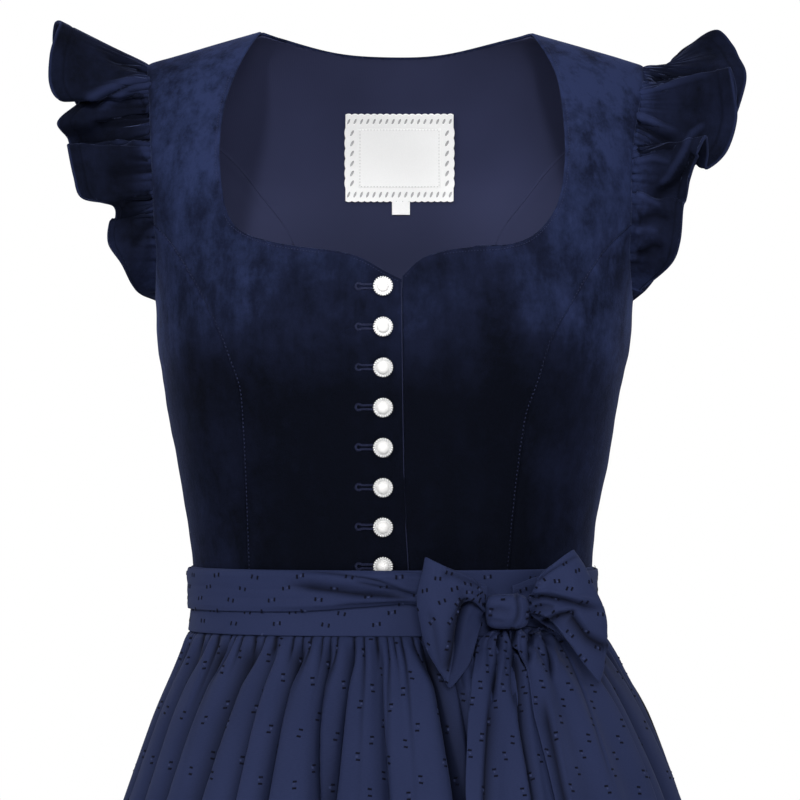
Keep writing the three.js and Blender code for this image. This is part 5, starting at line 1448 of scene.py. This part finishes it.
def label_material():
    n = Nodes("white_woven_label")
    weave = n.noise(n.place, 1500, 2, 0.6)
    return n.finish({
        "Base Color": n.mix(weave, (0.90, 0.90, 0.90, 1), (0.99, 0.99, 0.99, 1)),
        "Roughness": 0.85, "Sheen Weight": 0.1, "Normal": n.bump(weave, 0.4, 0.00018),
    })


white_label = label_material()


def label_sheet(name, box, columns, rows, thickness, lift=LABEL_LIFT):
    x = np.linspace(box["right"], box["left"], columns)
    z = np.linspace(box["bottom"], box["top"], rows)
    spots = spot(x[None, :], z[:, None], "back")
    points = body_point(spots) + body_normal(spots) * lift
    return cloth_object(name, points, body_normal(spots), thickness, cloth_uv(points))


def drawn_in(box, way):
    """The same box with all four sides moved inwards."""
    sides = {"left": box["left"] + way, "right": box["right"] - way}
    return {**sides, "top": box["top"] - way, "bottom": box["bottom"] + way}


inner = drawn_in(LABEL, LABEL["border"])
middle = label_sheet("label_middle", inner, 30, 23, 0.7)
finish_sheet(middle, "label", white_label)
tab = label_sheet("plain_tab", TAB, 16, 13, 0.7)
finish_sheet(tab, "size_tab", white_label)

grey_weave = yarn_material("grey_label_back", (0.34, 0.34, 0.35, 1), (0.52, 0.52, 0.53, 1))
backing = label_sheet("label_backing", drawn_in(LABEL, 1.2), 30, 23, 0.3, LABEL_LIFT + 0.55)
finish_sheet(backing, None, grey_weave)

# Border cells: a square of lace with a slanted eyelet, bridged from its outline to the hole.
build = bmesh.new()


def lace_cell(centre, size, slant, hole, outwards):
    turns = np.linspace(0, 2 * math.pi, 24, endpoint=False) + math.pi / 4
    c, s = np.cos(turns), np.sin(turns)
    reach = 1 / np.maximum(np.abs(c), np.abs(s))
    outer = np.stack([c * reach * size[0] / 2, s * reach * size[1] / 2], axis=1)
    reached = outer @ outwards / (np.abs(outwards) @ size / 2)
    beside = np.abs(outer @ outwards[::-1]) / (np.abs(outwards[::-1]) @ size / 2)
    outer = outer + np.where(reached > 0.99, 0.7 * (1 - beside**2), 0)[:, None] * outwards
    eye = np.stack([c * hole[0] / 2, s * hole[1] / 2], axis=1)
    turned = np.array([[math.cos(slant), -math.sin(slant)], [math.sin(slant), math.cos(slant)]])
    eye = eye @ turned.T
    rings = []
    for outline in (outer, eye):
        spots = spot(centre[0] + outline[:, 0], centre[1] + outline[:, 1], "back")
        rings.append([build.verts.new(p * MM) for p in body_point(spots) + body_normal(spots) * LABEL_LIFT])
    for k in range(len(turns)):
        after = (k + 1) % len(turns)
        build.faces.new((rings[0][k], rings[0][after], rings[1][after], rings[1][k]))


border = LABEL["border"]
wide, tall = LABEL["right"] - LABEL["left"], LABEL["top"] - LABEL["bottom"]
top_cells, side_cells = 17, 6
pitch_x = wide / top_cells
pitch_z = (tall - 2 * border) / side_cells
for k in range(top_cells):
    x = LABEL["left"] + (k + 0.5) * pitch_x
    for z, way in ((LABEL["top"] - border / 2, 1), (LABEL["bottom"] + border / 2, -1)):
        lace_cell((x, z), np.array([pitch_x, border]), math.radians(-22), (1.5, 4.2), np.array([0, way]))
for k in range(side_cells):
    z = inner["bottom"] + (k + 0.5) * pitch_z
    for x, way in ((LABEL["left"] + border / 2, -1), (LABEL["right"] - border / 2, 1)):
        lace_cell((x, z), np.array([border, pitch_z]), math.radians(-28), (1.7, 4.6), np.array([way, 0]))
bmesh.ops.remove_doubles(build, verts=build.verts, dist=0.00001)
bmesh.ops.recalc_face_normals(build, faces=build.faces)
mesh = bpy.data.meshes.new("label_lace")
build.to_mesh(mesh)
build.free()
lace = new_piece("label_lace", mesh)
bpy.context.view_layer.objects.active = lace
lace.select_set(True)
solid = lace.modifiers.new("wall", "SOLIDIFY")
solid.thickness = 0.0009
solid.offset = 0
bpy.ops.object.modifier_apply(modifier="wall")
lace.select_set(False)
lace.data.materials.append(white_label)
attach(lace, "root")

# The middle is sewn on with a row of short grey stitches, just inside its edge.
grey_thread = yarn_material("grey_thread", (0.28, 0.28, 0.28, 1), (0.45, 0.45, 0.45, 1))
row = drawn_in(inner, 1)
corners = [(row["left"], row["bottom"]), (row["right"], row["bottom"]),
           (row["right"], row["top"]), (row["left"], row["top"])]
centres, ways = [], []
for start, end in zip(corners, corners[1:] + corners[:1]):
    start, end = np.array(start), np.array(end)
    count = round(np.hypot(*(end - start)) / 2.1)
    centres += [start + (end - start) * (k + 0.5) / count for k in range(count)]
    ways += [unit(end - start)] * count
centres, ways = np.array(centres), np.array(ways)
spots = spot(centres[:, 0], centres[:, 1], "back")
centre, out = body_point(spots) + body_normal(spots) * LABEL_LIFT, -body_normal(spots)
along = np.stack([ways[:, 0], 0 * ways[:, 0], ways[:, 1]], axis=1)
label_stitches = pillows("label_stitches", centre, along, out, 0.6, 0.2, 0.5, 0.2, [grey_thread])

# ---------------------------------------------------------------- camera, light and floor
# A level camera a little over three metres in front, a broad soft light on each side, a small lamp
# aimed down into the neck, and a pale floor below the hem.
CAMERA = {"x": 3.5, "y": -3300, "z": -225, "frame": 512}
bpy.ops.object.camera_add(
    location=(CAMERA["x"] * MM, CAMERA["y"] * MM, CAMERA["z"] * MM), rotation=(math.pi / 2, 0, 0))
camera = bpy.context.object
camera.data.sensor_width = 36
camera.data.lens = 36 * -CAMERA["y"] / CAMERA["frame"]
camera.data.clip_end = 50
bpy.context.scene.camera = camera

# Each light: kind, place, what it is aimed at, power and its own settings.
BODY = (0, 0, -0.3)
LIGHTS = {
    "key": ("AREA", (-2.4, -2.1, 1.3), BODY, 45, {"size": 0.8}),
    "front": ("AREA", (0.3, -3.1, 0.7), BODY, 40, {"size": 0.9}),
    "right": ("AREA", (2.2, -2.1, 0.7), BODY, 21, {"size": 1.4}),
    "back_left": ("AREA", (-1.8, 1.4, 1.2), BODY, 14, {"size": 1.2}),
    "back_right": ("AREA", (1.8, 1.4, 1.2), BODY, 14, {"size": 1.2}),
    "neck": ("SPOT", (-0.2, -2.8, 1.5), (0, 0.05, -0.03), 1150,
             {"spot_size": math.radians(5.8), "spot_blend": 1.0, "shadow_soft_size": 0.25}),
}
for name, (kind, place, target, power, settings) in LIGHTS.items():
    aim = Vector(target) - Vector(place)
    bpy.ops.object.light_add(type=kind, location=place, rotation=aim.to_track_quat("-Z", "Y").to_euler())
    light = bpy.context.object
    light.name = f"{name}_light"
    light.data.energy = power
    for setting, value in settings.items():
        setattr(light.data, setting, value)

bpy.ops.mesh.primitive_plane_add(size=14, location=(0, 0, -1.35))
floor = bpy.context.object
floor.name = "floor"
paint = Nodes("pale_floor")
pale = paint.mix(paint.noise(paint.place, 3), (0.86, 0.86, 0.86, 1), (0.90, 0.90, 0.90, 1))
floor.data.materials.append(paint.finish({"Base Color": pale, "Roughness": 0.9}))

world = bpy.data.worlds.new("studio")
bpy.context.scene.world = world
world.use_nodes = True
tree = world.node_tree
sky = tree.nodes["Background"]
sky.inputs["Color"].default_value = (1, 1, 1, 1)
sky.inputs["Strength"].default_value = 0.27
seen = tree.nodes.new("ShaderNodeBackground")
seen.inputs["Color"].default_value = (1, 1, 1, 1)
seen.inputs["Strength"].default_value = 1.0
path = tree.nodes.new("ShaderNodeLightPath")
choose = tree.nodes.new("ShaderNodeMixShader")
tree.links.new(path.outputs["Is Camera Ray"], choose.inputs[0])
tree.links.new(sky.outputs[0], choose.inputs[1])
tree.links.new(seen.outputs[0], choose.inputs[2])
tree.links.new(choose.outputs[0], tree.nodes["World Output"].inputs["Surface"])
bpy.context.scene.view_settings.view_transform = "Standard"
